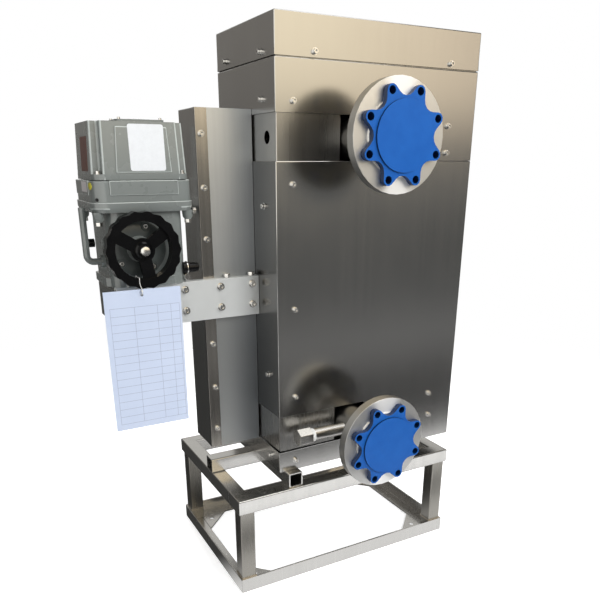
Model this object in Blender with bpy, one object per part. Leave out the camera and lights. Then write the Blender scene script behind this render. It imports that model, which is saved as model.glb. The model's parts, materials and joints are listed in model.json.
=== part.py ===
"""Twin valve cabinet with an electric quarter-turn actuator, on a welded steel stand.

Lengths are in metres and +Z is up. Every piece is drawn from the cabinet datum: X runs right from
the cabinet's left side, Y runs back from its front face and Z runs up from its underside. The datum
empty then sets the whole part on the floor, with the origin at the middle of its footprint.
"""
import bpy
import bmesh
from math import acos, atan2, cos, pi, radians, sin, sqrt
from mathutils import Matrix, Vector

# Fits: clearances between pieces, and how far a cutting shape runs past the face that it cuts
GAP = 0.0003
RUN = 0.0005
BALL_ROOM = 0.0015
SEAM = 0.0005
PAST = 0.002

# Levels of the two flanges above the cabinet's underside
LOW_Z = 0.0905
FLANGE_SPAN = 0.6055
UP_Z = LOW_Z + FLANGE_SPAN

# Cabinet: its bands are set out from the flange levels
CAB_W = 0.482
CAB_D = 0.275
BAND_HALF = 0.0415
UPPER_BAND_H = 0.0925
LID_H = 0.0725
TRAY_TOP = LOW_Z - 0.0405
MAIN_BOTTOM = LOW_Z + BAND_HALF
MAIN_TOP = UP_Z - BAND_HALF
UPPER_Z = UP_Z + 0.043
LID_Z = UPPER_Z + UPPER_BAND_H
CAB_H = LID_Z + LID_H
SHEET = 0.002
COVER_GAP = 0.001
RECESS = SHEET + COVER_GAP
NOTCH_HALF = 0.040
VENT_R = 0.012
VENT_Y = 0.042

# Process flanges, valves and the chamber behind them
FLANGE_X = 0.183
STANDOFF = 0.140
FLANGE_OD = 0.200
FLANGE_T = 0.024
FACE_OD = 0.138
FACE_T = 0.003
BOLT_PCD = 0.160
BOLT_D = 0.018
BOLTS = 8
HUB_R = 0.053
HUB_L = 0.026
HUB_LAND = 0.006
NECK_R = 0.038
NECK_BORE_R = 0.033
BEHIND_VALVE = 0.123
VALVE_Y = CAB_D - BEHIND_VALVE
BALL_R = 0.032
PORT_R = 0.020
BODY_R = 0.046
BODY_FRONT = 0.067
BODY_REAR = 0.044
TAIL_R = 0.0245
TAIL_L = 0.0125
STEM_R = 0.008
CHAMBER_R = 0.029
CHAMBER_WALL = 0.004
CHAMBER_END = 0.060

# Flange caps
CAP_PLATE_T = 0.0115
CAP_DISC_R = 0.0625
CAP_DISC_T = 0.004
CAP_DISC_DRAFT = 0.0008
CAP_LUG_R = 0.0105
CAP_VALLEY_R = 0.0665
CAP_VALLEY_ARC = 0.020
PEG_L = 0.010
PEG_WALL = 0.0012

# Drain branch on the lower neck
DRAIN_Y = -0.030
DRAIN_R = 0.0135
DRAIN_BORE_R = 0.0105
DRAIN_LEFT = 0.038
DRAIN_CAP_FLATS = 0.034
DRAIN_CAP_X = 0.029
DRAIN_CAP_L = 0.032
SEAL_L = 0.008
SEAL_T = 0.0012

# Side case and the linkage in it
CASE_LEFT = -0.118
CASE_FRONT = VALVE_Y - 0.048
CASE_REAR = VALVE_Y + 0.047
CASE_BOTTOM = LOW_Z - 0.0435
CASE_TOP = UP_Z + 0.054
CASE_SHEET = 0.0015
CRANK_R = 0.030
CRANK_REST = radians(45)
EYE_R = 0.012
LEVER_T = 0.008
LEVER_X = -0.045
PIN_R = 0.005
BAR_W = 0.014
SHAFT_R = 0.009
SHAFT_Z = 0.387

# Stand: an angle-iron base ring, tube legs, a tube top ring and the tubes that cross it
TUBE = 0.034
TUBE_WALL = 0.003
ANGLE_T = 0.004
STAND_LEFT = -0.110
STAND_RIGHT = 0.466
STAND_FRONT = -0.024
STAND_REAR = CAB_D + 0.090
STAND_H = 0.269
CROSS_LEFT_X = 0.0155
CROSS_RIGHT_X = 2 * FLANGE_X - CROSS_LEFT_X - TUBE
CROSS_SET_BACK = 0.0065
CROSS_SIDE_Y = CASE_FRONT + 0.0295
FOOT_PLATE = 0.070
FOOT_HOLE_R = 0.006

# Bracket, set out from the cross shaft
BRACKET_LEFT = -0.2995
BRACKET_FRONT = CASE_FRONT - 0.0175
BRACKET_REAR = CASE_REAR + 0.051
BRACKET_BOTTOM = SHAFT_Z - 0.0415
BRACKET_TOP = SHAFT_Z + 0.0408
PLATE_T = 0.006
MOUNT_T = 0.012
LEDGE = 0.0165

# Gears of the actuator and of the drive across to the case
WORM_X = -0.2526
WORM_Z = BRACKET_TOP + 0.0722
MODULE = 0.0015
WHEEL_TEETH = 32
WHEEL_T = 0.010
WHEEL_R = MODULE * WHEEL_TEETH / 2
WORM_PITCH_R = 0.010
WORM_TURNS = 3
WORM_SHAFT_R = 0.007
WORM_COLLAR = 0.004
TOOTH_ADD = 0.0010
TOOTH_DED = 0.0018
TOOTH_ROOT_HALF = 0.30
TOOTH_TIP_HALF = 0.13
GEAR_ROOM = 0.004
BEVEL_TEETH = 16
BEVEL_R = 0.022
BEVEL_FACE = 0.0065
BEVEL_HUB = 0.0055
BEVEL_ADD = 0.0020
BEVEL_DED = 0.0028
BEVEL_TIP_HALF = 0.11
OUTPUT_X = WORM_X + WORM_PITCH_R + WHEEL_R
OUTPUT_Y = VALVE_Y

# Actuator castings
GEAR_CASE_LEFT = -0.305
GEAR_CASE_RIGHT = -0.160
GEAR_CASE_FRONT = OUTPUT_Y - 0.074
GEAR_CASE_REAR = OUTPUT_Y + 0.080
GEAR_CASE_ROUND = 0.022
GEAR_FLANGE_T = 0.016
GEAR_FLANGE_LAP = 0.007
GEAR_FLANGE_CUT = 0.034
WORM_BOSS_R = 0.024
WORM_ROOM_R = WORM_PITCH_R + 0.0025
HOUSING_LEFT = -0.328
HOUSING_RIGHT = -0.141
HOUSING_FRONT = OUTPUT_Y - 0.086
HOUSING_REAR = OUTPUT_Y + 0.084
HOUSING_BOTTOM = WORM_Z + 0.066
HOUSING_TOP = HOUSING_BOTTOM + 0.056
HOUSING_WALL = 0.006
HOUSING_ROUND = 0.026
WORM_BOSS_FRONT = HOUSING_FRONT + 0.003
COVER_TOP = HOUSING_TOP + 0.0985
COVER_SET_IN = 0.004
COVER_FLANGE_T = 0.010
COVER_ROUND = 0.022
COVER_STEP = 0.017
COVER_STEP_ROUND = 0.0037
COVER_DRAFT = 0.95
COVER_WALL = 0.005
BOSS_W = 0.091
BOSS_D = 0.076
BOSS_T = 0.0055
BOSS_ROUND = 0.010
WINDOW_R = 0.030
WINDOW_H = 0.004
WINDOW_SINK = 0.003
WINDOW_WALL = 0.0015
POINTER_WAIST = 0.42
MOTOR_R = 0.028
MOTOR_L = 0.072
MOTOR_NOSE_R = 0.014
MOTOR_NOSE_L = 0.011
MOTOR_OFFSET = 0.062

# Handwheel and clutch lever
WHEEL_OD = 0.141
WHEEL_BACK = HOUSING_FRONT - 0.008
RIM_W = 0.0175
RIM_T = 0.022
RIM_LOBES = 18
LOBE_H = 0.0016
WEB_T = 0.009
WEB_LIP = 0.0005
SPOKE_ANGLES = (35, 150, 280)
SPOKE_HALF = 13
SPOKE_TAPER = 0.62
HUB_KNOB_R = 0.016
HUB_FILLET = 0.006
HUB_BACK = 0.006
HUB_PROUD = 0.001
WORM_SHAFT_FRONT = WHEEL_BACK - 0.028
ROD_D = 0.013
ROD_X = -0.339
ROD_Y = OUTPUT_Y - 0.022
ROD_Z = WORM_Z - 0.0265
ROD_H = 0.100
ROD_BEND = 0.012
ROD_ROOT = 0.020
ROD_BOSS_R = 0.0125
ROD_BOSS_L = 0.010

# Card on its string
CARD_W = 0.145
CARD_H = 0.272
CARD_T = 0.0006
CARD_Y = WHEEL_BACK - 0.0325
CARD_HOLE_R = 0.003
CARD_HOLE_DROP = 0.0105
CARD_TOP = WORM_Z - 0.0675
CARD_LEFT = -0.338
STRING_D = 0.0016
STRING_X = -0.2672

# The place of the cabinet datum, which centres the whole part on the floor
FRONT_REACH = STANDOFF + CAP_PLATE_T + CAP_DISC_T
LEFT_REACH = ROD_D / 2 - ROD_X
DATUM = Vector(((LEFT_REACH - CAB_W) / 2, (FRONT_REACH - STAND_REAR) / 2, STAND_H))


# Modelling helpers

def material(name, colour, roughness, metallic):
    """A Principled material for one kind of surface."""
    mat = bpy.data.materials.new(name)
    mat.use_nodes = True
    shader = mat.node_tree.nodes["Principled BSDF"]
    shader.inputs["Base Color"].default_value = (*colour, 1.0)
    shader.inputs["Roughness"].default_value = roughness
    shader.inputs["Metallic"].default_value = metallic
    return mat


def front(x, y, z):
    """Drawing plane seen from the front: X across, Z up, and the normal toward the viewer."""
    return Matrix(((1, 0, 0, x), (0, 0, -1, y), (0, 1, 0, z), (0, 0, 0, 1)))


def side(x, y, z):
    """Drawing plane seen from the right: Y across, Z up, and the normal along +X."""
    return Matrix(((0, 0, 1, x), (1, 0, 0, y), (0, 1, 0, z), (0, 0, 0, 1)))


def plan(x, y, z):
    """Drawing plane seen from above: X across, Y up the page, and the normal along +Z."""
    return Matrix.Translation((x, y, z))


def circle(u, v, radius, count, phase=0.0):
    """Points round a circle."""
    steps = [phase + 2 * pi * i / count for i in range(count)]
    return [(u + radius * cos(a), v + radius * sin(a)) for a in steps]


def rectangle(u0, v0, u1, v1):
    """Corners of a rectangle."""
    return [(u0, v0), (u1, v0), (u1, v1), (u0, v1)]


def round_rectangle(u0, v0, u1, v1, radius, steps=4):
    """A rectangle with its corners rounded to a radius."""
    corners = ((u1 - radius, v0 + radius, -90), (u1 - radius, v1 - radius, 0),
               (u0 + radius, v1 - radius, 90), (u0 + radius, v0 + radius, 180))
    points = []
    for u, v, start in corners:
        for i in range(steps + 1):
            a = radians(start + 90 * i / steps)
            points.append((u + radius * cos(a), v + radius * sin(a)))
    return points


def fill(bm, loops, place):
    """Flat faces inside the first loop and outside the rest."""
    edges = []
    rings = []
    for loop in loops:
        verts = [bm.verts.new(place @ Vector((u, v, 0))) for u, v in loop]
        rings.append(verts)
        edges += [bm.edges.new((verts[i - 1], verts[i])) for i in range(len(verts))]
    if len(loops) == 1:
        return [bm.faces.new(rings[0])]
    made = bmesh.ops.triangle_fill(bm, use_beauty=True, edges=edges)["geom"]
    return [item for item in made if isinstance(item, bmesh.types.BMFace)]


def prism(bm, loops, place, depth):
    """Extrude an outline with holes along its plane's normal; returns the far end's vertices."""
    faces = fill(bm, loops, place)
    grown = bmesh.ops.extrude_face_region(bm, geom=faces)["geom"]
    verts = [item for item in grown if isinstance(item, bmesh.types.BMVert)]
    bmesh.ops.translate(bm, verts=verts, vec=place.to_3x3() @ Vector((0, 0, depth)))
    return verts


def block(bm, low, high):
    """A plain box between two corners."""
    prism(bm, [rectangle(low[0], low[1], high[0], high[1])], plan(0, 0, low[2]), high[2] - low[2])


def lathe(bm, profile, place, steps, ring=False):
    """Turn a profile of (radius, height) points about the plane's normal."""
    verts = [bm.verts.new(place @ Vector((r, 0, h))) for r, h in profile]
    last = 0 if ring else 1
    edges = [bm.edges.new((verts[i - 1], verts[i])) for i in range(last, len(verts))]
    bmesh.ops.spin(bm, geom=verts + edges, cent=place.translation, axis=place.col[2].xyz,
                   angle=2 * pi, steps=steps, use_merge=True)


def rod(bm, radius, low, high, place, steps=24):
    """A round bar from one height to another along the plane's normal."""
    lathe(bm, [(0, low), (radius, low), (radius, high), (0, high)], place, steps)


def mesh_object(name, bm, origin):
    """Close up a bmesh and make it an object with its own origin, under the datum."""
    bmesh.ops.remove_doubles(bm, verts=bm.verts, dist=1e-6)
    bmesh.ops.recalc_face_normals(bm, faces=bm.faces)
    bmesh.ops.translate(bm, verts=bm.verts, vec=-Vector(origin))
    mesh = bpy.data.meshes.new(name)
    bm.to_mesh(mesh)
    bm.free()
    mesh.shade_smooth()
    mesh.set_sharp_from_angle(angle=radians(30))
    obj = bpy.data.objects.new(name, mesh)
    bpy.context.collection.objects.link(obj)
    obj.parent = datum
    obj.location = origin
    return obj


def part(name, bm, mat, origin=(0, 0, 0)):
    """A named piece of the assembly."""
    obj = mesh_object(name, bm, origin)
    obj.data.materials.append(mat)
    return obj


def boolean(target, name, bm, operation="DIFFERENCE"):
    """Cut a hidden tool shape from a piece, or join one to it."""
    tool = mesh_object(name, bm, (0, 0, 0))
    tool.hide_render = True
    tool.display_type = "WIRE"
    step = target.modifiers.new(name, "BOOLEAN")
    step.operation = operation
    step.solver = "EXACT"
    step.object = tool


for old in list(bpy.data.objects):
    bpy.data.objects.remove(old, do_unlink=True)

datum = bpy.data.objects.new("cabinet_datum", None)
bpy.context.collection.objects.link(datum)
datum.location = DATUM

stainless = material("brushed_stainless", (0.60, 0.57, 0.53), 0.30, 1.0)
tube_steel = material("welded_tube", (0.56, 0.55, 0.52), 0.38, 1.0)
machined = material("machined_steel", (0.72, 0.71, 0.69), 0.25, 1.0)
film_cover = material("case_cover_sheet", (0.70, 0.71, 0.72), 0.35, 0.8)
cap_blue = material("cap_blue", (0.02, 0.14, 0.50), 0.40, 0.0)
actuator_grey = material("actuator_grey", (0.17, 0.19, 0.18), 0.42, 0.0)
wheel_black = material("wheel_black", (0.008, 0.008, 0.009), 0.22, 0.0)
gear_steel = material("gear_steel", (0.42, 0.42, 0.43), 0.35, 1.0)
bronze = material("bronze", (0.60, 0.38, 0.16), 0.35, 1.0)
seal_white = material("seal_white", (0.85, 0.85, 0.83), 0.6, 0.0)
window_clear = material("window_clear", (0.75, 0.78, 0.78), 0.08, 0.0)
indicator_red = material("indicator_red", (0.55, 0.05, 0.03), 0.5, 0.0)
card_paper = material("card_paper", (0.80, 0.83, 0.92), 0.45, 0.0)
string_white = material("string_white", (0.85, 0.85, 0.82), 0.8, 0.0)


# Stand: the two rings are mitred at their corners, and the legs stand inside the base ring's angle iron

tube_section = [rectangle(0, 0, TUBE, TUBE),
                rectangle(TUBE_WALL, TUBE_WALL, TUBE - TUBE_WALL, TUBE - TUBE_WALL)]
angle_section = [[(0, 0), (TUBE, 0), (TUBE, ANGLE_T), (ANGLE_T, ANGLE_T), (ANGLE_T, TUBE), (0, TUBE)]]


def square_tube(name, place, length):
    """An open square tube along the normal of its drawing plane."""
    bm = bmesh.new()
    prism(bm, tube_section, place, length)
    part(name, bm, tube_steel)


def ring_bar(name, section, start, end, z):
    """One side of a ring of four bars; the section is drawn inward and up from the ring's outer edge."""
    corner = Vector((*start, z))
    along = Vector((*end, z)) - corner
    length = along.length
    along.normalize()
    up = Vector((0, 0, 1))
    inward = up.cross(along)
    place = Matrix((inward, up, along)).transposed().to_4x4()
    place.translation = corner
    bm = bmesh.new()
    far = prism(bm, section, place, length)
    for v in bm.verts:
        trim = (v.co - corner).dot(inward) + GAP
        v.co += along * (-trim if v in far else trim)
    return part(name, bm, tube_steel)


def foot_plates(bar, tag, y_edge, y_way):
    """Two drilled corner plates welded to the inner edge of a base bar, flush with its underside."""
    bm = bmesh.new()
    drill = bmesh.new()
    reach = FOOT_PLATE * 0.3
    for x_edge, x_way in ((STAND_LEFT + TUBE, 1), (STAND_RIGHT - TUBE, -1)):
        x = x_edge + x_way * 2 * GAP
        y = y_edge - y_way * TUBE_WALL
        plate = [(x, y), (x + x_way * FOOT_PLATE, y), (x, y + y_way * FOOT_PLATE)]
        prism(bm, [plate], plan(0, 0, -STAND_H), ANGLE_T)
        hole = plan(x + x_way * reach, y + y_way * reach, -STAND_H)
        rod(drill, FOOT_HOLE_R, -ANGLE_T, 2 * ANGLE_T, hole, 12)
    boolean(bar, "plates_" + tag, bm, "UNION")
    boolean(bar, "plate_holes_" + tag, drill)


base_z = -STAND_H
rail_z = -GAP - TUBE - GAP - TUBE
ring = rectangle(STAND_LEFT, STAND_FRONT, STAND_RIGHT, STAND_REAR)
for i, spot in enumerate(("front", "right", "rear", "left")):
    ends = ring[i], ring[(i + 1) % 4]
    ring_bar(f"stand_rail_{spot}", tube_section, *ends, rail_z)
    bar = ring_bar(f"stand_base_{spot}", angle_section, *ends, base_z)
    if spot == "front":
        foot_plates(bar, spot, STAND_FRONT + TUBE, 1)
    elif spot == "rear":
        foot_plates(bar, spot, STAND_REAR - TUBE, -1)

leg_z = base_z + ANGLE_T + GAP
leg_l = rail_z - GAP - leg_z
leg_in = ANGLE_T + GAP
for depth, y in (("front", STAND_FRONT + leg_in), ("rear", STAND_REAR - TUBE - leg_in)):
    for hand, x in (("left", STAND_LEFT + leg_in), ("right", STAND_RIGHT - TUBE - leg_in)):
        square_tube(f"stand_leg_{depth}_{hand}", plan(x, y, leg_z), leg_l)

cross_front = STAND_FRONT + CROSS_SET_BACK
cross_rear = STAND_REAR - CROSS_SET_BACK
cross_z = -GAP - TUBE
square_tube("cross_tube_left", front(CROSS_LEFT_X, cross_rear, cross_z), cross_rear - cross_front)
square_tube("cross_tube_right", front(CROSS_RIGHT_X, cross_rear, cross_z), cross_rear - cross_front)
square_tube("cross_tube_side", side(STAND_LEFT, CROSS_SIDE_Y, cross_z), CROSS_LEFT_X - GAP - STAND_LEFT)


# Cabinet of folded stainless sheet: an inner casing, with a tray, two wrap covers and a lid over it

def open_box(bm, outline, place, depth, wall, floor):
    """A folded box, closed at its drawing plane and open at the far end."""
    verts = prism(bm, [outline], place, depth)
    face = next(f for f in bm.faces if all(v in verts for v in f.verts))
    bmesh.ops.inset_region(bm, faces=[face], thickness=wall, use_even_offset=True)
    way = 1 if depth > 0 else -1
    bmesh.ops.translate(bm, verts=face.verts,
                        vec=place.to_3x3() @ Vector((0, 0, floor * way - depth)))


def wrap(bm, inset, low, high):
    """Four walls of sheet round the cabinet, set in from its outside."""
    outer = rectangle(inset, inset, CAB_W - inset, CAB_D - inset)
    inner = rectangle(inset + SHEET, inset + SHEET, CAB_W - inset - SHEET, CAB_D - inset - SHEET)
    prism(bm, [outer, inner], plan(0, 0, low), high - low)


leg_x = FLANGE_X + NOTCH_HALF
casing_top = CAB_H - SHEET - GAP
bm = bmesh.new()
wrap(bm, RECESS, TRAY_TOP, casing_top)
casing = part("inner_casing", bm, stainless)
cuts = bmesh.new()
for low, high in ((TRAY_TOP - SHEET, MAIN_BOTTOM), (MAIN_TOP, UPPER_Z)):
    block(cuts, (FLANGE_X - NOTCH_HALF, -SHEET, low), (leg_x, RECESS + 2 * SHEET, high))
for z in (LOW_Z, UP_Z):
    rod(cuts, STEM_R + RUN, -SHEET, RECESS + 2 * SHEET, side(0, VALVE_Y, z), 20)
rod(cuts, VENT_R, -SHEET, RECESS + 2 * SHEET, side(0, VENT_Y, (MAIN_TOP + UPPER_Z) / 2), 24)
boolean(casing, "casing_cuts", cuts)

bm = bmesh.new()
wrap(bm, 0, MAIN_TOP + SEAM, LID_Z - SEAM)
upper_cover = part("upper_cover", bm, stainless)
cuts = bmesh.new()
block(cuts, (-SHEET, -SHEET, MAIN_TOP - SHEET), (leg_x, CAB_D + SHEET, UPPER_Z))
boolean(upper_cover, "upper_cover_cut", cuts)

bm = bmesh.new()
wrap(bm, 0, 0, MAIN_TOP)
main_cover = part("main_cover", bm, stainless)
cuts = bmesh.new()
block(cuts, (-SHEET, -SHEET, -SHEET), (leg_x, CAB_D + SHEET, MAIN_BOTTOM))
boolean(main_cover, "main_cover_cut", cuts)

bm = bmesh.new()
tray_step = leg_x - SEAM
tray = [(0, 0), (tray_step, 0), (tray_step, RECESS), (CAB_W - RECESS, RECESS),
        (CAB_W - RECESS, CAB_D - RECESS), (tray_step, CAB_D - RECESS), (tray_step, CAB_D), (0, CAB_D)]
open_box(bm, tray, plan(0, 0, 0), TRAY_TOP - GAP, SHEET, SHEET)
part("bottom_tray", bm, stainless)

bm = bmesh.new()
open_box(bm, rectangle(0, 0, CAB_W, CAB_D), plan(0, 0, CAB_H), LID_Z - CAB_H, SHEET, SHEET)
part("cabinet_lid", bm, stainless)


# Process side: two weld-neck flanges with push-on caps, a ball valve behind each, and the chamber

chamber_y = VALVE_Y + BODY_REAR + TAIL_L + CHAMBER_R
neck_end = STANDOFF + VALVE_Y - BODY_FRONT - GAP
hub_end = FLANGE_T + HUB_L
flange_profile = [(NECK_BORE_R, 0), (FACE_OD / 2, 0), (FACE_OD / 2, -FACE_T), (FLANGE_OD / 2, -FACE_T),
                  (FLANGE_OD / 2, -FLANGE_T), (HUB_R, -FLANGE_T), (NECK_R, -hub_end)]
bolt_angles = [2 * pi * (i + 0.5) / BOLTS for i in range(BOLTS)]


def cap_outline():
    """A round lug on each bolt hole and a round valley between, joined by flanks that touch both."""
    half = pi / BOLTS
    valley_r = CAP_VALLEY_R + CAP_VALLEY_ARC
    across = Vector((valley_r * cos(half) - BOLT_PCD / 2, valley_r * sin(half)))
    lean = atan2(across.y, across.x) - acos((CAP_LUG_R + CAP_VALLEY_ARC) / across.length)
    steps = 4
    points = []
    for a in bolt_angles:
        for i in range(steps + 1):
            t = a + lean * (2 * i / steps - 1)
            points.append((BOLT_PCD / 2 * cos(a) + CAP_LUG_R * cos(t),
                           BOLT_PCD / 2 * sin(a) + CAP_LUG_R * sin(t)))
        middle = a + half
        for i in range(steps + 1):
            t = middle + pi + (lean - half) * (1 - 2 * i / steps)
            points.append((valley_r * cos(middle) + CAP_VALLEY_ARC * cos(t),
                           valley_r * sin(middle) + CAP_VALLEY_ARC * sin(t)))
    return points


def flange_set(level, z):
    """One flange with its neck, its cap, and the valve that it leads to.

    The lower flange ends at its hub, because its neck is a pipe of its own that the drain opens into.
    """
    axis = front(FLANGE_X, -STANDOFF, z)
    end = hub_end + HUB_LAND if level == "lower" else neck_end
    bm = bmesh.new()
    lathe(bm, flange_profile + [(NECK_R, -end), (NECK_BORE_R, -end)], axis, 36, ring=True)
    flange = part(f"{level}_flange", bm, machined)
    holes = bmesh.new()
    for a in bolt_angles:
        spot = front(FLANGE_X + BOLT_PCD / 2 * cos(a), -STANDOFF, z + BOLT_PCD / 2 * sin(a))
        rod(holes, BOLT_D / 2, -FLANGE_T - FACE_T, FACE_T, spot, 12)
    boolean(flange, f"{level}_flange_holes", holes)
    if level == "lower":
        bm = bmesh.new()
        start = end + GAP
        lathe(bm, [(NECK_BORE_R, -start), (NECK_R, -start), (NECK_R, -neck_end), (NECK_BORE_R, -neck_end)],
              axis, 36, ring=True)
        neck = part("lower_neck", bm, machined)
        mouth = bmesh.new()
        rod(mouth, DRAIN_BORE_R, DRAIN_LEFT, FLANGE_X, side(0, DRAIN_Y, z), 16)
        boolean(neck, "lower_neck_mouth", mouth)

    bm = bmesh.new()
    cap_back = front(FLANGE_X, -STANDOFF - GAP, z)
    prism(bm, [cap_outline()], cap_back, CAP_PLATE_T)
    cap = part(f"{level}_flange_cap", bm, cap_blue, (FLANGE_X, -STANDOFF, z))
    raised = bmesh.new()
    top = CAP_PLATE_T + CAP_DISC_T - GAP
    lathe(raised, [(0, CAP_PLATE_T / 2), (CAP_DISC_R, CAP_PLATE_T / 2),
                   (CAP_DISC_R - CAP_DISC_DRAFT, top), (0, top)], cap_back, 36)
    pockets = bmesh.new()
    for a in bolt_angles:
        spot = front(FLANGE_X + BOLT_PCD / 2 * cos(a), -STANDOFF, z + BOLT_PCD / 2 * sin(a))
        rod(raised, BOLT_D / 2 - RUN, -PEG_L, CAP_PLATE_T / 2, spot, 10)
        rod(pockets, BOLT_D / 2 - RUN - PEG_WALL, -PEG_L + PEG_WALL, 2 * CAP_PLATE_T, spot, 10)
    boolean(cap, f"{level}_cap_raised", raised, "UNION")
    boolean(cap, f"{level}_cap_pockets", pockets)

    centre = front(FLANGE_X, VALVE_Y, z)
    cavity = BALL_R + BALL_ROOM
    steps = 6
    lip = acos(PORT_R / cavity)
    arc = [lip - 2 * lip * i / steps for i in range(steps + 1)]
    inner = [(cavity * cos(a), cavity * sin(a)) for a in arc]
    tail = BODY_REAR + TAIL_L + CHAMBER_R / 2
    bm = bmesh.new()
    outer = [(PORT_R, -tail), (TAIL_R, -tail), (TAIL_R, -BODY_REAR), (BODY_R, -BODY_REAR),
             (BODY_R, BODY_FRONT)]
    lathe(bm, [(PORT_R, BODY_FRONT)] + inner + outer, centre, 24, ring=True)
    body = part(f"{level}_valve_body", bm, machined)
    saddle = bmesh.new()
    rod(saddle, CHAMBER_R + GAP, z - BODY_R, z + BODY_R, plan(FLANGE_X, chamber_y, 0), 28)
    boolean(body, f"{level}_tail_saddle", saddle)
    bore = bmesh.new()
    rod(bore, STEM_R + RUN, -BODY_R - STEM_R, -PORT_R, side(FLANGE_X, VALVE_Y, z), 16)
    boolean(body, f"{level}_stem_bore", bore)

    tip = acos(PORT_R / BALL_R)
    arc = [tip - 2 * tip * i / steps for i in range(steps + 1)]
    bm = bmesh.new()
    lathe(bm, [(BALL_R * cos(a), BALL_R * sin(a)) for a in arc], plan(FLANGE_X, VALVE_Y, z), 24, ring=True)
    part(f"{level}_ball", bm, machined, (FLANGE_X, VALVE_Y, z))

    bm = bmesh.new()
    rod(bm, STEM_R, LEVER_X + GAP, FLANGE_X - BALL_R - GAP, side(0, VALVE_Y, z), 20)
    part(f"{level}_stem", bm, gear_steel, (LEVER_X, VALVE_Y, z))


flange_set("upper", UP_Z)
flange_set("lower", LOW_Z)

chamber_low = LOW_Z - CHAMBER_END
chamber_high = UP_Z + CHAMBER_END
chamber_axis = plan(FLANGE_X, chamber_y, 0)
bm = bmesh.new()
rod(bm, CHAMBER_R, chamber_low, chamber_high, chamber_axis, 28)
chamber = part("level_chamber", bm, machined)
bore = bmesh.new()
rod(bore, CHAMBER_R - CHAMBER_WALL, chamber_low + CHAMBER_WALL, chamber_high - CHAMBER_WALL,
    chamber_axis, 28)
ports = bmesh.new()
for z in (LOW_Z, UP_Z):
    rod(ports, PORT_R - RUN, RUN, CHAMBER_R + CHAMBER_WALL, front(FLANGE_X, chamber_y, z), 20)
boolean(chamber, "chamber_bore", bore)
boolean(chamber, "chamber_ports", ports)

bm = bmesh.new()
drain_axis = side(0, DRAIN_Y, LOW_Z)
lathe(bm, [(DRAIN_BORE_R, DRAIN_LEFT), (DRAIN_R, DRAIN_LEFT), (DRAIN_R, FLANGE_X - NECK_BORE_R),
           (DRAIN_BORE_R, FLANGE_X - NECK_BORE_R)], drain_axis, 24, ring=True)
drain = part("drain_pipe", bm, machined)
saddle = bmesh.new()
rod(saddle, NECK_R + GAP, -DRAIN_R * 2, DRAIN_R * 2, front(FLANGE_X, DRAIN_Y, LOW_Z), 48)
boolean(drain, "drain_saddle", saddle)

bm = bmesh.new()
hexagon = circle(0, 0, DRAIN_CAP_FLATS / sqrt(3), 6, pi / 6)
prism(bm, [hexagon], side(DRAIN_CAP_X, DRAIN_Y, LOW_Z), DRAIN_CAP_L)
drain_cap = part("drain_cap", bm, machined)
socket = bmesh.new()
rod(socket, DRAIN_R + GAP, DRAIN_LEFT - GAP, DRAIN_CAP_X + DRAIN_CAP_L + SEAL_L, drain_axis, 24)
boolean(drain_cap, "drain_cap_socket", socket)

bm = bmesh.new()
seal_start = DRAIN_CAP_X + DRAIN_CAP_L + GAP
lathe(bm, [(DRAIN_R + GAP, seal_start), (DRAIN_R + SEAL_T, seal_start),
           (DRAIN_R + SEAL_T, seal_start + SEAL_L), (DRAIN_R + GAP, seal_start + SEAL_L)],
      drain_axis, 24, ring=True)
part("drain_seal", bm, seal_white)


# Side case and the linkage that turns both valve stems together

case_plan = rectangle(CASE_LEFT, CASE_BOTTOM, -GAP, CASE_TOP)
bm = bmesh.new()
open_box(bm, case_plan, front(0, CASE_REAR, 0), CASE_REAR - CASE_FRONT - CASE_SHEET - GAP,
         CASE_SHEET, CASE_SHEET)
case = part("side_case", bm, stainless)
cuts = bmesh.new()
rod(cuts, SHAFT_R + RUN, CASE_LEFT - CASE_SHEET, CASE_LEFT + 2 * CASE_SHEET,
    side(0, VALVE_Y, SHAFT_Z), 20)
for z in (LOW_Z, UP_Z):
    rod(cuts, STEM_R + RUN, -2 * CASE_SHEET, CASE_SHEET, side(0, VALVE_Y, z), 20)
boolean(case, "case_cuts", cuts)

bm = bmesh.new()
prism(bm, [case_plan], front(0, CASE_FRONT + CASE_SHEET, 0), CASE_SHEET)
part("side_case_cover", bm, film_cover)

pin_y = CRANK_R * cos(CRANK_REST)
pin_z = CRANK_R * sin(CRANK_REST)
pin_l = LEVER_T + 2 * RUN


def lever(name, z, hub_bore, left):
    """A lever with a boss on its shaft, an eye at the crank radius and a pin that stands left."""
    bm = bmesh.new()
    arm = CRANK_R
    lean = CRANK_REST - pi / 2
    outline = [(EYE_R * cos(pi + pi * i / 12), EYE_R * sin(pi + pi * i / 12)) for i in range(13)]
    outline += [(EYE_R * cos(pi * i / 12), arm + EYE_R * sin(pi * i / 12)) for i in range(13)]
    turned = [(u * cos(lean) - v * sin(lean), u * sin(lean) + v * cos(lean)) for u, v in outline]
    prism(bm, [turned, circle(0, 0, hub_bore, 20)], side(left, VALVE_Y, z), LEVER_T)
    obj = part(name, bm, gear_steel, (left, VALVE_Y, z))
    pin = bmesh.new()
    rod(pin, PIN_R, -pin_l, LEVER_T / 2, side(left, VALVE_Y + pin_y, z + pin_z), 16)
    boolean(obj, name + "_pin", pin, "UNION")


lever("upper_lever", UP_Z, STEM_R + GAP, LEVER_X)
lever("lower_lever", LOW_Z, STEM_R + GAP, LEVER_X)
lever("drive_crank", SHAFT_Z, SHAFT_R + GAP, LEVER_X)

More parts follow.
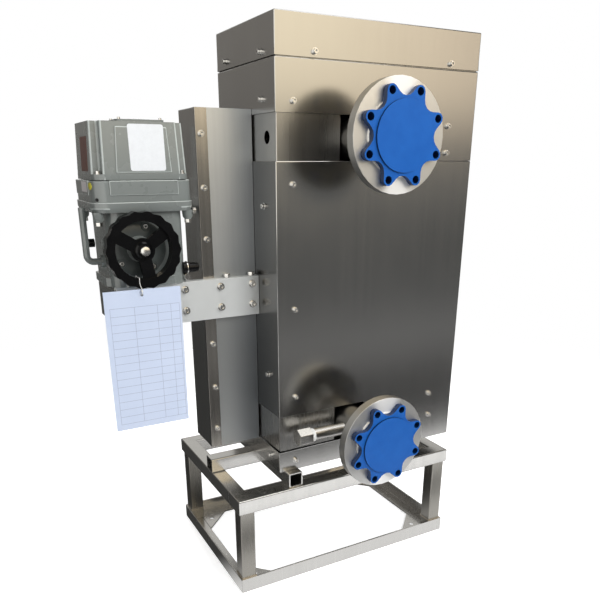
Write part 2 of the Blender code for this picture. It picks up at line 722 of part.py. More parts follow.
bm = bmesh.new()
rod_left = LEVER_X - RUN - LEVER_T
eyes = (LOW_Z + pin_z, SHAFT_Z + pin_z, UP_Z + pin_z)
end_arc = [(EYE_R * cos(a), EYE_R * sin(a)) for a in (pi * i / 10 for i in range(11))]
half = BAR_W / 2
swell = [(half, eyes[1] - EYE_R), (EYE_R, eyes[1] - half / 2),
         (EYE_R, eyes[1] + half / 2), (half, eyes[1] + EYE_R)]
bar = [(-u, eyes[0] - v) for u, v in end_arc] + swell
bar += [(u, eyes[2] + v) for u, v in end_arc] + [(-u, v) for u, v in reversed(swell)]
holes = [circle(0, eye, PIN_R + RUN, 16) for eye in eyes]
prism(bm, [bar] + holes, side(rod_left, VALVE_Y + pin_y, 0), LEVER_T)
part("tie_rod", bm, gear_steel, (rod_left, VALVE_Y + pin_y, SHAFT_Z + pin_z))

bevel_back = BEVEL_R + BEVEL_HUB
bm = bmesh.new()
rod(bm, SHAFT_R, OUTPUT_X + BEVEL_R - BEVEL_FACE, LEVER_X + LEVER_T, side(0, OUTPUT_Y, SHAFT_Z), 24)
part("cross_shaft", bm, gear_steel, (OUTPUT_X, OUTPUT_Y, SHAFT_Z))


def bevel_gear(name, place, phase):
    """A mitre gear whose teeth narrow toward the crossing of the two shafts."""
    pitch = 2 * pi / BEVEL_TEETH
    outline = []
    for i in range(BEVEL_TEETH):
        a = phase + i * pitch
        for share, r in ((-TOOTH_ROOT_HALF, -BEVEL_DED), (-BEVEL_TIP_HALF, BEVEL_ADD),
                         (BEVEL_TIP_HALF, BEVEL_ADD), (TOOTH_ROOT_HALF, -BEVEL_DED)):
            turn = a + share * pitch
            outline.append(((BEVEL_R + r) * cos(turn), (BEVEL_R + r) * sin(turn)))
    bore = circle(0, 0, SHAFT_R + GAP, 16)
    bm = bmesh.new()
    far = prism(bm, [outline, bore], place @ Matrix.Translation((0, 0, BEVEL_R)), -BEVEL_FACE)
    shrink = (BEVEL_R - BEVEL_FACE) / BEVEL_R
    back = place.inverted()
    for v in far:
        local = back @ v.co
        if local.xy.length > SHAFT_R + 2 * GAP:
            v.co = place @ Vector((local.x * shrink, local.y * shrink, local.z))
    obj = part(name, bm, gear_steel, place.translation)
    hub = bmesh.new()
    hub_r = SHAFT_R + BEVEL_HUB
    lathe(hub, [(SHAFT_R + GAP, BEVEL_R - GAP), (hub_r, BEVEL_R - GAP), (hub_r, bevel_back),
                (SHAFT_R + GAP, bevel_back)], place, 16, ring=True)
    boolean(obj, name + "_hub", hub, "UNION")


bevel_gear("driven_bevel", side(OUTPUT_X, OUTPUT_Y, SHAFT_Z), pi / BEVEL_TEETH)
bevel_gear("driving_bevel", plan(OUTPUT_X, OUTPUT_Y, SHAFT_Z), 0.0)


# Bracket that carries the actuator beside the case

bm = bmesh.new()
ledge_rear = min(BRACKET_FRONT + LEDGE, CASE_FRONT - GAP)
angle = [(BRACKET_FRONT, BRACKET_BOTTOM), (BRACKET_FRONT + PLATE_T, BRACKET_BOTTOM),
         (BRACKET_FRONT + PLATE_T, BRACKET_TOP - PLATE_T), (ledge_rear, BRACKET_TOP - PLATE_T),
         (ledge_rear, BRACKET_TOP), (BRACKET_FRONT, BRACKET_TOP)]
prism(bm, [angle], side(BRACKET_LEFT, 0, 0), -GAP - BRACKET_LEFT)
part("bracket_front_plate", bm, stainless)

bm = bmesh.new()
mount_low = BRACKET_TOP - MOUNT_T
mount_plan = rectangle(BRACKET_LEFT, ledge_rear + GAP, CASE_LEFT - GAP, BRACKET_REAR)
prism(bm, [mount_plan, circle(OUTPUT_X, OUTPUT_Y, SHAFT_R + 3 * RUN, 24)], plan(0, 0, mount_low), MOUNT_T)
part("actuator_plate", bm, stainless)

bm = bmesh.new()
frame_front = BRACKET_FRONT + PLATE_T + GAP
frame_plan = [(BRACKET_LEFT, frame_front), (BRACKET_LEFT + PLATE_T, frame_front),
              (BRACKET_LEFT + PLATE_T, BRACKET_REAR - PLATE_T), (-GAP, BRACKET_REAR - PLATE_T),
              (-GAP, BRACKET_REAR), (BRACKET_LEFT, BRACKET_REAR)]
prism(bm, [frame_plan], plan(0, 0, BRACKET_BOTTOM), mount_low - GAP - BRACKET_BOTTOM)
part("bracket_frame", bm, stainless)


# Actuator: gear case, worm and wheel, housing with its motor, cover, handwheel and clutch lever

bm = bmesh.new()
case_low = BRACKET_TOP + GAP
case_high = HOUSING_BOTTOM - GAP
gear_plan = round_rectangle(GEAR_CASE_LEFT, GEAR_CASE_FRONT, GEAR_CASE_RIGHT, GEAR_CASE_REAR,
                            GEAR_CASE_ROUND)
prism(bm, [gear_plan], plan(0, 0, case_low), case_high - case_low)
gear_case = part("gear_case", bm, actuator_grey)
extra = bmesh.new()
lap = GEAR_FLANGE_LAP
octagon = round_rectangle(GEAR_CASE_LEFT - lap, GEAR_CASE_FRONT - lap / 2, GEAR_CASE_RIGHT + lap,
                          GEAR_CASE_REAR + lap / 2, GEAR_FLANGE_CUT, 1)
prism(extra, [octagon], plan(0, 0, case_low), GEAR_FLANGE_T)
bosses = bmesh.new()
worm_axis = front(WORM_X, 0, WORM_Z)
rod(bosses, WORM_BOSS_R, -GEAR_CASE_FRONT - ROD_BOSS_L, -WORM_BOSS_FRONT, worm_axis, 20)
lever_axis = side(GEAR_CASE_LEFT, ROD_Y, ROD_Z)
rod(bosses, ROD_BOSS_R, -ROD_BOSS_L, ROD_BOSS_L / 2, lever_axis, 16)
cavity = bmesh.new()
output_axis = plan(OUTPUT_X, OUTPUT_Y, 0)
wheel_low = WORM_Z - WHEEL_T / 2
rod(cavity, WHEEL_R + GEAR_ROOM, wheel_low - GEAR_ROOM, case_high + GAP, output_axis, 24)
tunnel = bmesh.new()
worm_half = WORM_TURNS * pi * MODULE / 2 + WORM_COLLAR
shaft_rear = OUTPUT_Y + worm_half + 2 * WORM_COLLAR
rod(tunnel, WORM_ROOM_R, -shaft_rear - RUN, -WORM_BOSS_FRONT + PAST, worm_axis, 16)
drill = bmesh.new()
rod(drill, SHAFT_R + RUN, case_low - PAST, WORM_Z, output_axis, 16)
rod(drill, ROD_D / 2 + RUN, -ROD_BOSS_L - PAST, ROD_ROOT + PAST, lever_axis, 12)
boolean(gear_case, "gear_case_flange", extra, "UNION")
boolean(gear_case, "gear_case_bosses", bosses, "UNION")
boolean(gear_case, "gear_case_wheel_room", cavity)
boolean(gear_case, "gear_case_worm_room", tunnel)
boolean(gear_case, "gear_case_bores", drill)

bm = bmesh.new()
pitch = 2 * pi / WHEEL_TEETH
outline = []
for i in range(WHEEL_TEETH):
    a = (i + 0.5) * pitch
    for share, r in ((-TOOTH_ROOT_HALF, -TOOTH_DED), (-TOOTH_TIP_HALF, TOOTH_ADD),
                     (TOOTH_TIP_HALF, TOOTH_ADD), (TOOTH_ROOT_HALF, -TOOTH_DED)):
        turn = a + share * pitch
        outline.append(((WHEEL_R + r) * cos(turn), (WHEEL_R + r) * sin(turn)))
wheel_place = plan(OUTPUT_X, OUTPUT_Y, wheel_low)
far = prism(bm, [outline, circle(0, 0, SHAFT_R + GAP, 24)], wheel_place, WHEEL_T)
twist = WHEEL_T / 2 * (MODULE / (2 * WORM_PITCH_R)) / WHEEL_R
near = [v for v in bm.verts if v not in far]
for verts, turn in ((near, -twist), (far, twist)):
    bmesh.ops.rotate(bm, verts=verts, cent=wheel_place.translation, matrix=Matrix.Rotation(turn, 3, "Z"))
part("worm_wheel", bm, bronze, (OUTPUT_X, OUTPUT_Y, WORM_Z))

bm = bmesh.new()
worm_root = WORM_PITCH_R - TOOTH_DED
collar_rear = -GEAR_CASE_FRONT - 2 * WORM_COLLAR
lathe(bm, [(0, -shaft_rear), (WORM_SHAFT_R, -shaft_rear), (WORM_SHAFT_R, -OUTPUT_Y - worm_half),
           (worm_root, -OUTPUT_Y - worm_half), (worm_root, -OUTPUT_Y + worm_half),
           (WORM_SHAFT_R, -OUTPUT_Y + worm_half), (WORM_SHAFT_R, collar_rear),
           (WORM_ROOM_R - GAP, collar_rear), (WORM_ROOM_R - GAP, -WORM_BOSS_FRONT),
           (WORM_SHAFT_R, -WORM_BOSS_FRONT), (WORM_SHAFT_R, -WORM_SHAFT_FRONT), (0, -WORM_SHAFT_FRONT)],
      worm_axis, 16)
worm = part("worm_shaft", bm, gear_steel, (WORM_X, OUTPUT_Y, WORM_Z))
thread = bmesh.new()
lead_y = pi * MODULE
sunk = -TOOTH_DED - 2 * GAP
section = ((-TOOTH_ROOT_HALF, sunk), (-TOOTH_TIP_HALF, TOOTH_ADD), (TOOTH_TIP_HALF, TOOTH_ADD),
           (TOOTH_ROOT_HALF, sunk))
rings = []
count = 10 * WORM_TURNS
for i in range(count + 1):
    a = 2 * pi * WORM_TURNS * (i / count - 0.5)
    ring = []
    for share, r in section:
        y = OUTPUT_Y + lead_y * (a / (2 * pi) + share)
        turn = a + pi / 2
        ring.append(thread.verts.new((WORM_X + (WORM_PITCH_R + r) * sin(turn), y,
                                      WORM_Z + (WORM_PITCH_R + r) * cos(turn))))
    rings.append(ring)
for first, second in zip(rings, rings[1:]):
    for j in range(4):
        thread.faces.new((first[j - 1], first[j], second[j], second[j - 1]))
thread.faces.new(rings[0])
thread.faces.new(rings[-1])
boolean(worm, "worm_thread", thread, "UNION")

bm = bmesh.new()
window_seat = COVER_TOP + BOSS_T - WINDOW_SINK
rod(bm, SHAFT_R, SHAFT_Z + BEVEL_R - BEVEL_FACE, window_seat, output_axis, 24)
part("output_shaft", bm, gear_steel, (OUTPUT_X, OUTPUT_Y, WORM_Z))

bm = bmesh.new()
housing_plan = round_rectangle(HOUSING_LEFT, HOUSING_FRONT, HOUSING_RIGHT, HOUSING_REAR, HOUSING_ROUND)
open_box(bm, housing_plan, plan(0, 0, HOUSING_BOTTOM), HOUSING_TOP - HOUSING_BOTTOM,
         HOUSING_WALL, HOUSING_WALL)
housing = part("actuator_housing", bm, actuator_grey)
drill = bmesh.new()
rod(drill, SHAFT_R + RUN, HOUSING_BOTTOM - PAST, HOUSING_BOTTOM + 2 * HOUSING_WALL, output_axis, 24)
boolean(housing, "housing_bore", drill)

bm = bmesh.new()
motor_x = OUTPUT_X - MOTOR_OFFSET
motor_low = HOUSING_BOTTOM + HOUSING_WALL + GAP
motor_high = motor_low + MOTOR_L
lathe(bm, [(0, motor_low), (MOTOR_R, motor_low), (MOTOR_R, motor_high), (MOTOR_NOSE_R, motor_high),
           (MOTOR_NOSE_R, motor_high + MOTOR_NOSE_L), (0, motor_high + MOTOR_NOSE_L)],
      plan(motor_x, OUTPUT_Y, 0), 24)
part("drive_motor", bm, gear_steel)

cover_low = HOUSING_TOP + GAP
cover_left = HOUSING_LEFT + COVER_SET_IN
cover_right = HOUSING_RIGHT - COVER_SET_IN
cover_front = HOUSING_FRONT + COVER_SET_IN
cover_rear = HOUSING_REAR - COVER_SET_IN
mid_x = (cover_left + cover_right) / 2
mid_y = (cover_front + cover_rear) / 2
half_x = (cover_right - cover_left) / 2
half_y = (cover_rear - cover_front) / 2


def drafted(bm, outline, low, high, end_scale):
    """A block that narrows evenly toward its top."""
    verts = prism(bm, [outline], plan(mid_x, mid_y, low), high - low)
    bmesh.ops.scale(bm, verts=verts, vec=(end_scale, end_scale, 1),
                    space=Matrix.Translation((-mid_x, -mid_y, 0)))


def stepped(inset):
    """The cover's outline, with each corner stepped in to make room for a screw pillar."""
    u = half_x - inset
    v = half_y - inset
    s = COVER_STEP
    quarter = [(u, -v + s), (u, v - s), (u - s, v - s), (u - s, v)]
    return quarter + [(-(u - s), v), (-(u - s), v - s), (-u, v - s), (-u, -v + s),
                      (-(u - s), -v + s), (-(u - s), -v), (u - s, -v), (u - s, -v + s)]


bm = bmesh.new()
drafted(bm, stepped(0), cover_low, COVER_TOP, COVER_DRAFT)
upright = [e for e in bm.edges if abs(e.verts[0].co.z - e.verts[1].co.z) > COVER_FLANGE_T]
bmesh.ops.bevel(bm, geom=upright, offset=COVER_STEP_ROUND, segments=2, profile=0.5, affect="EDGES",
                material=-1)
cover = part("actuator_cover", bm, actuator_grey)
extra = bmesh.new()
flange_plan = round_rectangle(cover_left, cover_front, cover_right, cover_rear, COVER_ROUND)
prism(extra, [flange_plan], plan(0, 0, cover_low), COVER_FLANGE_T)
rim = bmesh.new()
boss_plan = round_rectangle(OUTPUT_X - BOSS_W / 2, OUTPUT_Y - BOSS_D / 2, OUTPUT_X + BOSS_W / 2,
                            OUTPUT_Y + BOSS_D / 2, BOSS_ROUND)
prism(rim, [boss_plan], plan(0, 0, COVER_TOP - COVER_WALL / 2), COVER_WALL / 2 + BOSS_T)
hollow = bmesh.new()
drafted(hollow, stepped(COVER_WALL), cover_low - PAST, COVER_TOP - COVER_WALL, COVER_DRAFT)
drill = bmesh.new()
lathe(drill, [(0, COVER_TOP - 2 * COVER_WALL), (SHAFT_R + RUN, COVER_TOP - 2 * COVER_WALL),
              (SHAFT_R + RUN, window_seat), (WINDOW_R + GAP, window_seat),
              (WINDOW_R + GAP, COVER_TOP + BOSS_T + PAST), (0, COVER_TOP + BOSS_T + PAST)], output_axis, 24)
boolean(cover, "cover_flange", extra, "UNION")
boolean(cover, "cover_window_boss", rim, "UNION")
boolean(cover, "cover_hollow", hollow)
boolean(cover, "cover_bore", drill)

bm = bmesh.new()
window_low = window_seat + GAP
window_high = window_low + WINDOW_H
room_r = WINDOW_R - WINDOW_WALL
room_h = WINDOW_H - WINDOW_WALL
lathe(bm, [(0, window_low + room_h), (room_r, window_low + room_h), (room_r, window_low),
           (WINDOW_R, window_low), (WINDOW_R, window_high - RUN), (WINDOW_R - RUN, window_high),
           (0, window_high)], output_axis, 24)
part("indicator_window", bm, window_clear)

bm = bmesh.new()
blade = room_r - WINDOW_WALL
pointer = [(u, v * POINTER_WAIST) for u, v in circle(0, 0, blade, 24)]
prism(bm, [pointer], plan(OUTPUT_X, OUTPUT_Y, window_low), room_h - 2 * RUN)
part("position_pointer", bm, indicator_red, (OUTPUT_X, OUTPUT_Y, window_low))

bm = bmesh.new()
rim_r = WHEEL_OD / 2
points = []
for i in range(RIM_LOBES * 4):
    a = 2 * pi * i / (RIM_LOBES * 4)
    r = rim_r - LOBE_H + LOBE_H * cos(RIM_LOBES * a)
    points.append((r * cos(a), r * sin(a)))
rim_place = front(WORM_X, WHEEL_BACK, WORM_Z)
prism(bm, [points, circle(0, 0, rim_r - RIM_W, 36)], rim_place, RIM_T)
handwheel = part("handwheel", bm, wheel_black, (WORM_X, WHEEL_BACK, WORM_Z))
web = bmesh.new()
window_out = rim_r - RIM_W - WEB_LIP
inner_r = HUB_KNOB_R + HUB_FILLET
holes = []
for i, angle in enumerate(SPOKE_ANGLES):
    start = radians(angle + SPOKE_HALF)
    end = radians((SPOKE_ANGLES + (SPOKE_ANGLES[0] + 360,))[i + 1] - SPOKE_HALF)
    sweep = [start + (end - start) * k / 10 for k in range(11)]
    middle = (start + end) / 2
    hole = [(window_out * cos(a), window_out * sin(a)) for a in sweep]
    inner_half = (end - start) / 2 * SPOKE_TAPER
    inward = [middle + inner_half - 2 * inner_half * k / 4 for k in range(5)]
    hole += [(inner_r * cos(a), inner_r * sin(a)) for a in inward]
    holes.append(hole)
web_back = (RIM_T - WEB_T) / 2
web_place = rim_place @ Matrix.Translation((0, 0, web_back))
prism(web, [circle(0, 0, rim_r - RIM_W / 2, 36)] + holes, web_place, WEB_T)
hub = bmesh.new()
hub_front = RIM_T + HUB_PROUD
hub_round = 3 * HUB_PROUD
lathe(hub, [(0, -HUB_BACK), (HUB_KNOB_R, -HUB_BACK), (HUB_KNOB_R, hub_front - hub_round),
            (HUB_KNOB_R - hub_round, hub_front), (0, hub_front)], rim_place, 28)
bore = bmesh.new()
rod(bore, WORM_SHAFT_R + GAP, -HUB_BACK - PAST, hub_front + PAST, rim_place, 24)
boolean(handwheel, "handwheel_web", web, "UNION")
boolean(handwheel, "handwheel_hub", hub, "UNION")
boolean(handwheel, "handwheel_bore", bore)


def bar_along(name, points, diameter, sides, mat, origin):
    """A round bar or string along a list of points, with closed ends."""
    curve = bpy.data.curves.new(name, "CURVE")
    curve.dimensions = "3D"
    curve.bevel_depth = diameter / 2
    curve.bevel_resolution = sides
    curve.use_fill_caps = True
    spline = curve.splines.new("POLY")
    spline.points.add(len(points) - 1)
    for spot, place in zip(spline.points, points):
        spot.co = (*(Vector(place) - Vector(origin)), 1)
    obj = bpy.data.objects.new(name, curve)
    bpy.context.collection.objects.link(obj)
    obj.parent = datum
    obj.location = origin
    curve.materials.append(mat)


lever_root = (GEAR_CASE_LEFT + ROD_ROOT, ROD_Y, ROD_Z)
bend = [(ROD_X + ROD_BEND - ROD_BEND * sin(a), ROD_Y, ROD_Z + ROD_BEND - ROD_BEND * cos(a))
        for a in (pi / 2 * i / 6 for i in range(7))]
bar_along("clutch_lever", [lever_root] + bend + [(ROD_X, ROD_Y, ROD_Z + ROD_H)], ROD_D, 3,
          actuator_grey, (GEAR_CASE_LEFT, ROD_Y, ROD_Z))


# Ruled card that hangs from the handwheel rim on a loop of string

bm = bmesh.new()
hole_z = CARD_TOP - CARD_HOLE_DROP
card = rectangle(CARD_LEFT, CARD_TOP - CARD_H, CARD_LEFT + CARD_W, CARD_TOP)
prism(bm, [card, circle(STRING_X, hole_z, CARD_HOLE_R, 16)], front(0, CARD_Y + CARD_T, 0), CARD_T)
hang_z = hole_z + CARD_HOLE_R - STRING_D / 2 - RUN
part("tag_card", bm, card_paper, (STRING_X, CARD_Y, hang_z))

rim_front = WHEEL_BACK - RIM_T
drop = STRING_X - WORM_X
rim_low = WORM_Z - sqrt(rim_r ** 2 - drop ** 2)
rim_high = WORM_Z - sqrt((rim_r - RIM_W) ** 2 - drop ** 2)
slack = STRING_D + 2 * RUN
corner = slack * 0.75
rim_seat = WORM_Z - sqrt(window_out ** 2 - drop ** 2) + STRING_D / 2 + RUN
strand = CARD_Y - 2 * STRING_D
tail = strand - 1.4 * STRING_D
route = [(strand, hole_z + 0.0060), (strand, hole_z + 0.0085), (strand + 0.0007, CARD_TOP + 0.0015),
         (CARD_Y + 0.0025, CARD_TOP + 0.0045), (rim_front - slack, CARD_TOP + 0.010),
         (rim_front - slack, rim_high - 0.004), (rim_front - corner, rim_high + corner),
         ((rim_front + WHEEL_BACK) / 2, rim_seat), (WHEEL_BACK + corner, rim_high + corner),
         (WHEEL_BACK + slack, (rim_low + rim_high) / 2), (WHEEL_BACK + corner, rim_low - corner),
         (WHEEL_BACK - 0.006, rim_low - slack - 0.001), (rim_front + 0.003, hang_z + 0.0015),
         (CARD_Y + 0.004, hang_z), (CARD_Y - 0.001, hang_z), (strand - 0.0003, hang_z + 0.0004),
         (tail, hang_z + 0.004), (tail, hang_z + 0.007)]


def smooth_route(points, steps):
    """Points along a smooth curve that passes through every given point."""
    ends = [points[0]] + points + [points[-1]]
    made = []
    for p0, p1, p2, p3 in zip(ends, ends[1:], ends[2:], ends[3:]):
        for i in range(steps):
            t = i / steps
            made.append(0.5 * (2 * p1 + (p2 - p0) * t + (2 * p0 - 5 * p1 + 4 * p2 - p3) * t ** 2
                               + (3 * p1 - p0 - 3 * p2 + p3) * t ** 3))
    return made + [points[-1]]


string_points = smooth_route([Vector((STRING_X, y, z)) for y, z in route], 2)
bar_along("tag_string", string_points, STRING_D, 2, string_white, (STRING_X, CARD_Y, hang_z))
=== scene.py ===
"""The finished look of a twin valve cabinet with a geared electric actuator, on its welded stand.

Each section dresses one piece or one group of like pieces, in the order that the object is put together.
"""

import json
from math import pi, radians

import bmesh
import bpy
from mathutils import Matrix, Vector


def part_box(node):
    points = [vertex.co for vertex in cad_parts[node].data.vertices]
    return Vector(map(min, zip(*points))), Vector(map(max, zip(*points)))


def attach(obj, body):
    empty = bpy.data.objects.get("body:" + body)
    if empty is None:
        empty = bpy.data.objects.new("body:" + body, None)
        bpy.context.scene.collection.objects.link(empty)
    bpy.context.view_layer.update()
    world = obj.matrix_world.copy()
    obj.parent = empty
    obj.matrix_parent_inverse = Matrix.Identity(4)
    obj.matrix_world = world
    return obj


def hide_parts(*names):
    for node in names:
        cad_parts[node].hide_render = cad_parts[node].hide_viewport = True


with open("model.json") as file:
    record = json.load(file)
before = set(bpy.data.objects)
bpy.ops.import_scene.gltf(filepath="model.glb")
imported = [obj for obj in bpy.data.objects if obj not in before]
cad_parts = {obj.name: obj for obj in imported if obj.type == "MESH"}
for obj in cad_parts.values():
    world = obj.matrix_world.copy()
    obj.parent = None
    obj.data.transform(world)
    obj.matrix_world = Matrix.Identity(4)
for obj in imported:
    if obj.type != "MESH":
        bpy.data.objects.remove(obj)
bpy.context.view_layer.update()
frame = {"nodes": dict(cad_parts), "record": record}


# Stand: a base ring of stainless angle, with legs and a top ring of square tube, cut and welded.
# The mill finish is left on, and each weld is a brushed bead with a faint straw tint.

class Shade:
    """A shader socket: sums on it add their own nodes, and node() adds any other kind."""

    def __init__(self, tree, socket=None):
        self.tree = tree
        self.socket = socket

    def feed(self, made, sockets):
        """Set or link the sockets of a node."""
        for name, value in sockets.items():
            if isinstance(value, Shade):
                self.tree.links.new(value.socket, made.inputs[name])
            else:
                made.inputs[name].default_value = value

    def node(self, kind, settings, sockets, output=0):
        """Add a node of one type, with its settings and the values or links of its sockets."""
        made = self.tree.nodes.new("ShaderNode" + kind)
        for name, value in settings.items():
            if name == "stops":
                while len(made.color_ramp.elements) < len(value):
                    made.color_ramp.elements.new(1.0)
                for element, (position, tone) in zip(made.color_ramp.elements, value):
                    element.position = position
                    element.color = (tone, tone, tone, 1)
            else:
                setattr(made, name, value)
        self.feed(made, sockets)
        return Shade(self.tree, made.outputs[output])

    def math(self, operation, other=0.0):
        """A sum of one kind on this value and another."""
        return self.node("Math", {"operation": operation}, {0: self, 1: other})

    def mix(self, low, high):
        """A colour between two others, by this value."""
        return self.node("Mix", {"data_type": "RGBA"}, {0: self, 6: low, 7: high}, 2)

    def ease(self, start, end):
        """A smooth step from 0 at the start to 1 at the end."""
        return self.node("MapRange", {"interpolation_type": "SMOOTHSTEP"}, {0: self, 1: start, 2: end})

    def along(self, axis):
        """One coordinate of a place."""
        return self.node("SeparateXYZ", {}, {0: self}, axis)

    def __add__(self, other):
        return self.math("ADD", other)

    def __sub__(self, other):
        return self.math("SUBTRACT", other)

    def __rsub__(self, other):
        return self.node("Math", {"operation": "SUBTRACT"}, {0: other, 1: self})

    def __mul__(self, other):
        return self.math("MULTIPLY", other)

    def __lt__(self, other):
        return self.math("LESS_THAN", other)

    def __gt__(self, other):
        return self.math("GREATER_THAN", other)

    def __abs__(self):
        return self.math("ABSOLUTE")

    __radd__ = __add__
    __rmul__ = __mul__


def new_finish(name):
    """An empty material, with its shader and the Object coordinate that its patterns read."""
    finish = bpy.data.materials.new(name)
    finish.use_nodes = True
    shader = finish.node_tree.nodes["Principled BSDF"]
    place = Shade(finish.node_tree).node("TexCoord", {}, {}, "Object")
    return finish, shader, place


def speckle(place, per_metre, detail=3.0):
    """Noise from 0 to 1 with a count of features per metre along each axis."""
    spread = place.node("Mapping", {}, {"Vector": place, "Scale": per_metre})
    return place.node("TexNoise", {}, {"Vector": spread, "Scale": 1.0, "Detail": detail, "Roughness": 0.55})


def relief(place, height, depth):
    """A bump of a real depth."""
    return place.node("Bump", {}, {"Strength": 1.0, "Distance": depth, "Height": height})


def steel_finish(name, dark, light, rough, along, streak=0.10, scratch=0.000012, painted_shade_to=-1.0):
    """Bare steel, brushed along one axis and clouded by handling, with painted shade up to a place along X.
    """
    finish, shader, place = new_finish(name)
    hairs = speckle(place, [14 if axis == along else 2400 for axis in "XYZ"], 1.0)
    bands = speckle(place, [1.5 if axis == along else 90 for axis in "XYZ"], 3.0)
    cloud = speckle(place, (4, 4, 4), 4.0)
    clean = (0.7 * cloud + 0.3 * bands).mix((*dark, 1), (*light, 1))
    # Left of that place the tone is painted darker, as painted shade.
    painted_shade = place.along("X") < painted_shade_to
    place.feed(shader, {"Metallic": 1.0,
                        "Base Color": painted_shade.mix(clean, (*(0.45 * c for c in dark), 1)),
                        "Roughness": rough + streak * (bands - 0.5) + 0.08 * (cloud - 0.5) + 0.05 * hairs,
                        "Normal": relief(place, hairs, scratch)})
    return finish


bodies = frame["record"]["behaviour"]["bodies"]
body_of = {node: body for body, nodes in bodies.items() for node in nodes}
slot_of = {part["node"]: part["material_slot"] for part in frame["record"]["subparts"]}
touching = 1e-6
square_on = 0.9999
crease = radians(35)


def place_piece(name, bm, finish, body, boxy=False):
    """Make a mesh a piece that rides on a body.

    A boxy piece has its square faces shaded flat. In other pieces, large faces outweigh small ones.
    """
    bmesh.ops.dissolve_degenerate(bm, dist=touching, edges=bm.edges)
    bmesh.ops.triangulate(bm, faces=[f for f in bm.faces if len(f.verts) > 4])
    bm.faces.index_update()
    bm.normal_update()
    flat = [f.index for f in bm.faces if boxy and max(abs(c) for c in f.normal) > square_on]
    mesh = bpy.data.meshes.new(name)
    bm.to_mesh(mesh)
    bm.free()
    mesh.shade_smooth()
    mesh.set_sharp_from_angle(angle=crease)
    for index in flat:
        mesh.polygons[index].use_smooth = False
    mesh.materials.append(finish)
    piece = bpy.data.objects.new(name, mesh)
    bpy.context.collection.objects.link(piece)
    if not boxy:
        piece.modifiers.new("flat_faces", "WEIGHTED_NORMAL").keep_sharp = True
    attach(piece, body)
    return piece


def mark_faces(bm, wanted):
    """Mark the faces that a test picks, for a finish to paint light or shade on."""
    mark = bm.faces.layers.float.new("marked")
    bm.normal_update()
    for face in bm.faces:
        face[mark] = float(wanted(face))


def soften(node, finish, edge, least=0.0, steps=2, fold=0.0, marked=None, boxy=False):
    """A copy of a CAD piece with its sharp edges rounded, which stands for the piece.

    Where a fold is given, the upright edges at the corners of its box are rounded by that first.
    Edges no longer than the least length stay sharp.
    Faces that the marked test picks carry a mark, on which a finish paints light or shade.
    """
    bm = bmesh.new()
    bm.from_mesh(frame["nodes"][node].data)
    bmesh.ops.remove_doubles(bm, verts=bm.verts, dist=touching)
    bmesh.ops.dissolve_limit(bm, angle_limit=radians(1), verts=bm.verts, edges=bm.edges)
    if fold:
        low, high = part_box(node)
        corners = [e for e in bm.edges
                   if all(min(abs(v.co[i] - low[i]), abs(v.co[i] - high[i])) < 10 * touching
                          for v in e.verts for i in (0, 1))]
        bmesh.ops.bevel(bm, geom=corners, offset=fold, segments=4, profile=0.5, affect="EDGES", material=-1)
    sharp = [e for e in bm.edges
             if e.is_manifold and e.calc_face_angle() > crease and e.calc_length() > least]
    bmesh.ops.bevel(bm, geom=sharp, offset=edge, segments=steps, profile=0.5, affect="EDGES",
                    clamp_overlap=True, material=-1)
    if marked:
        mark_faces(bm, marked)
    piece = place_piece(node + "_finished", bm, finish, body_of[node], boxy=boxy)
    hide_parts(node)


def block(bm, low, high, edge, steps=2):
    """A block between two corners with all its edges rounded."""
    low, high = Vector(low), Vector(high)
    made = bmesh.ops.create_cube(bm, size=1.0)["verts"]
    bmesh.ops.scale(bm, verts=made, vec=high - low)
    bmesh.ops.translate(bm, verts=made, vec=(low + high) / 2)
    edges = [e for e in bm.edges if all(v in made for v in e.verts)]
    bmesh.ops.bevel(bm, geom=edges, offset=edge, segments=steps, profile=0.5, affect="EDGES", material=-1)


tube_finish = steel_finish("mill_finish_tube", (0.52, 0.513, 0.495), (0.70, 0.69, 0.67), 0.22, "Z", 0.12)
# The legs are the same steel as the rails, painted darker as a painted reflection.
leg_painted_dark_finish = steel_finish("leg_steel_painted_dark", (0.27, 0.258, 0.235), (0.42, 0.405, 0.37), 0.26, "Z", 0.12)
tube_corner = 0.0025
angle_corner = 0.0009
leg_low, leg_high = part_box("stand_leg_front_left")
tube_side = leg_high.x - leg_low.x
for node, slot in slot_of.items():
    if node.startswith("stand_base"):
        soften(node, tube_finish, angle_corner, boxy=True)
    elif slot == "welded_tube":
        finish = leg_painted_dark_finish if "leg" in node else tube_finish
        soften(node, finish, tube_corner, least=2 * tube_side, steps=3, boxy=True)

bead_finish, bead_shader, bead_place = new_finish("weld_bead")
ripple = speckle(bead_place, (420, 420, 420), 2.0)
tint = speckle(bead_place, (60, 60, 60), 3.0)
bead_place.feed(bead_shader, {"Metallic": 1.0, "Roughness": 0.30 + 0.25 * ripple,
                              "Base Color": tint.mix((0.62, 0.60, 0.57, 1), (0.50, 0.42, 0.30, 1)),
                              "Normal": relief(bead_place, ripple, 0.0006)})
bead_proud = 0.0011
bead_round = 0.9 * bead_proud
top_bead = 0.0026
foot_bead = 0.0052
base_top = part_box("stand_base_front")[1].z
beads = bmesh.new()
for leg in ("front_left", "front_right", "rear_left", "rear_right"):
    low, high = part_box("stand_leg_" + leg)
    for z, bead_h in ((high.z, top_bead), (base_top, foot_bead)):
        block(beads, (low.x - bead_proud, low.y - bead_proud, z - bead_h / 2),
              (high.x + bead_proud, high.y + bead_proud, z + bead_h / 2), bead_round)
place_piece("stand_welds", beads, bead_finish, "cabinet")


# Cabinet: a tray, two wrap covers and a lid folded from brushed stainless sheet over an inner casing.
# Socket-head screws on plain washers hold each cover, and they stand proud of the sheet.

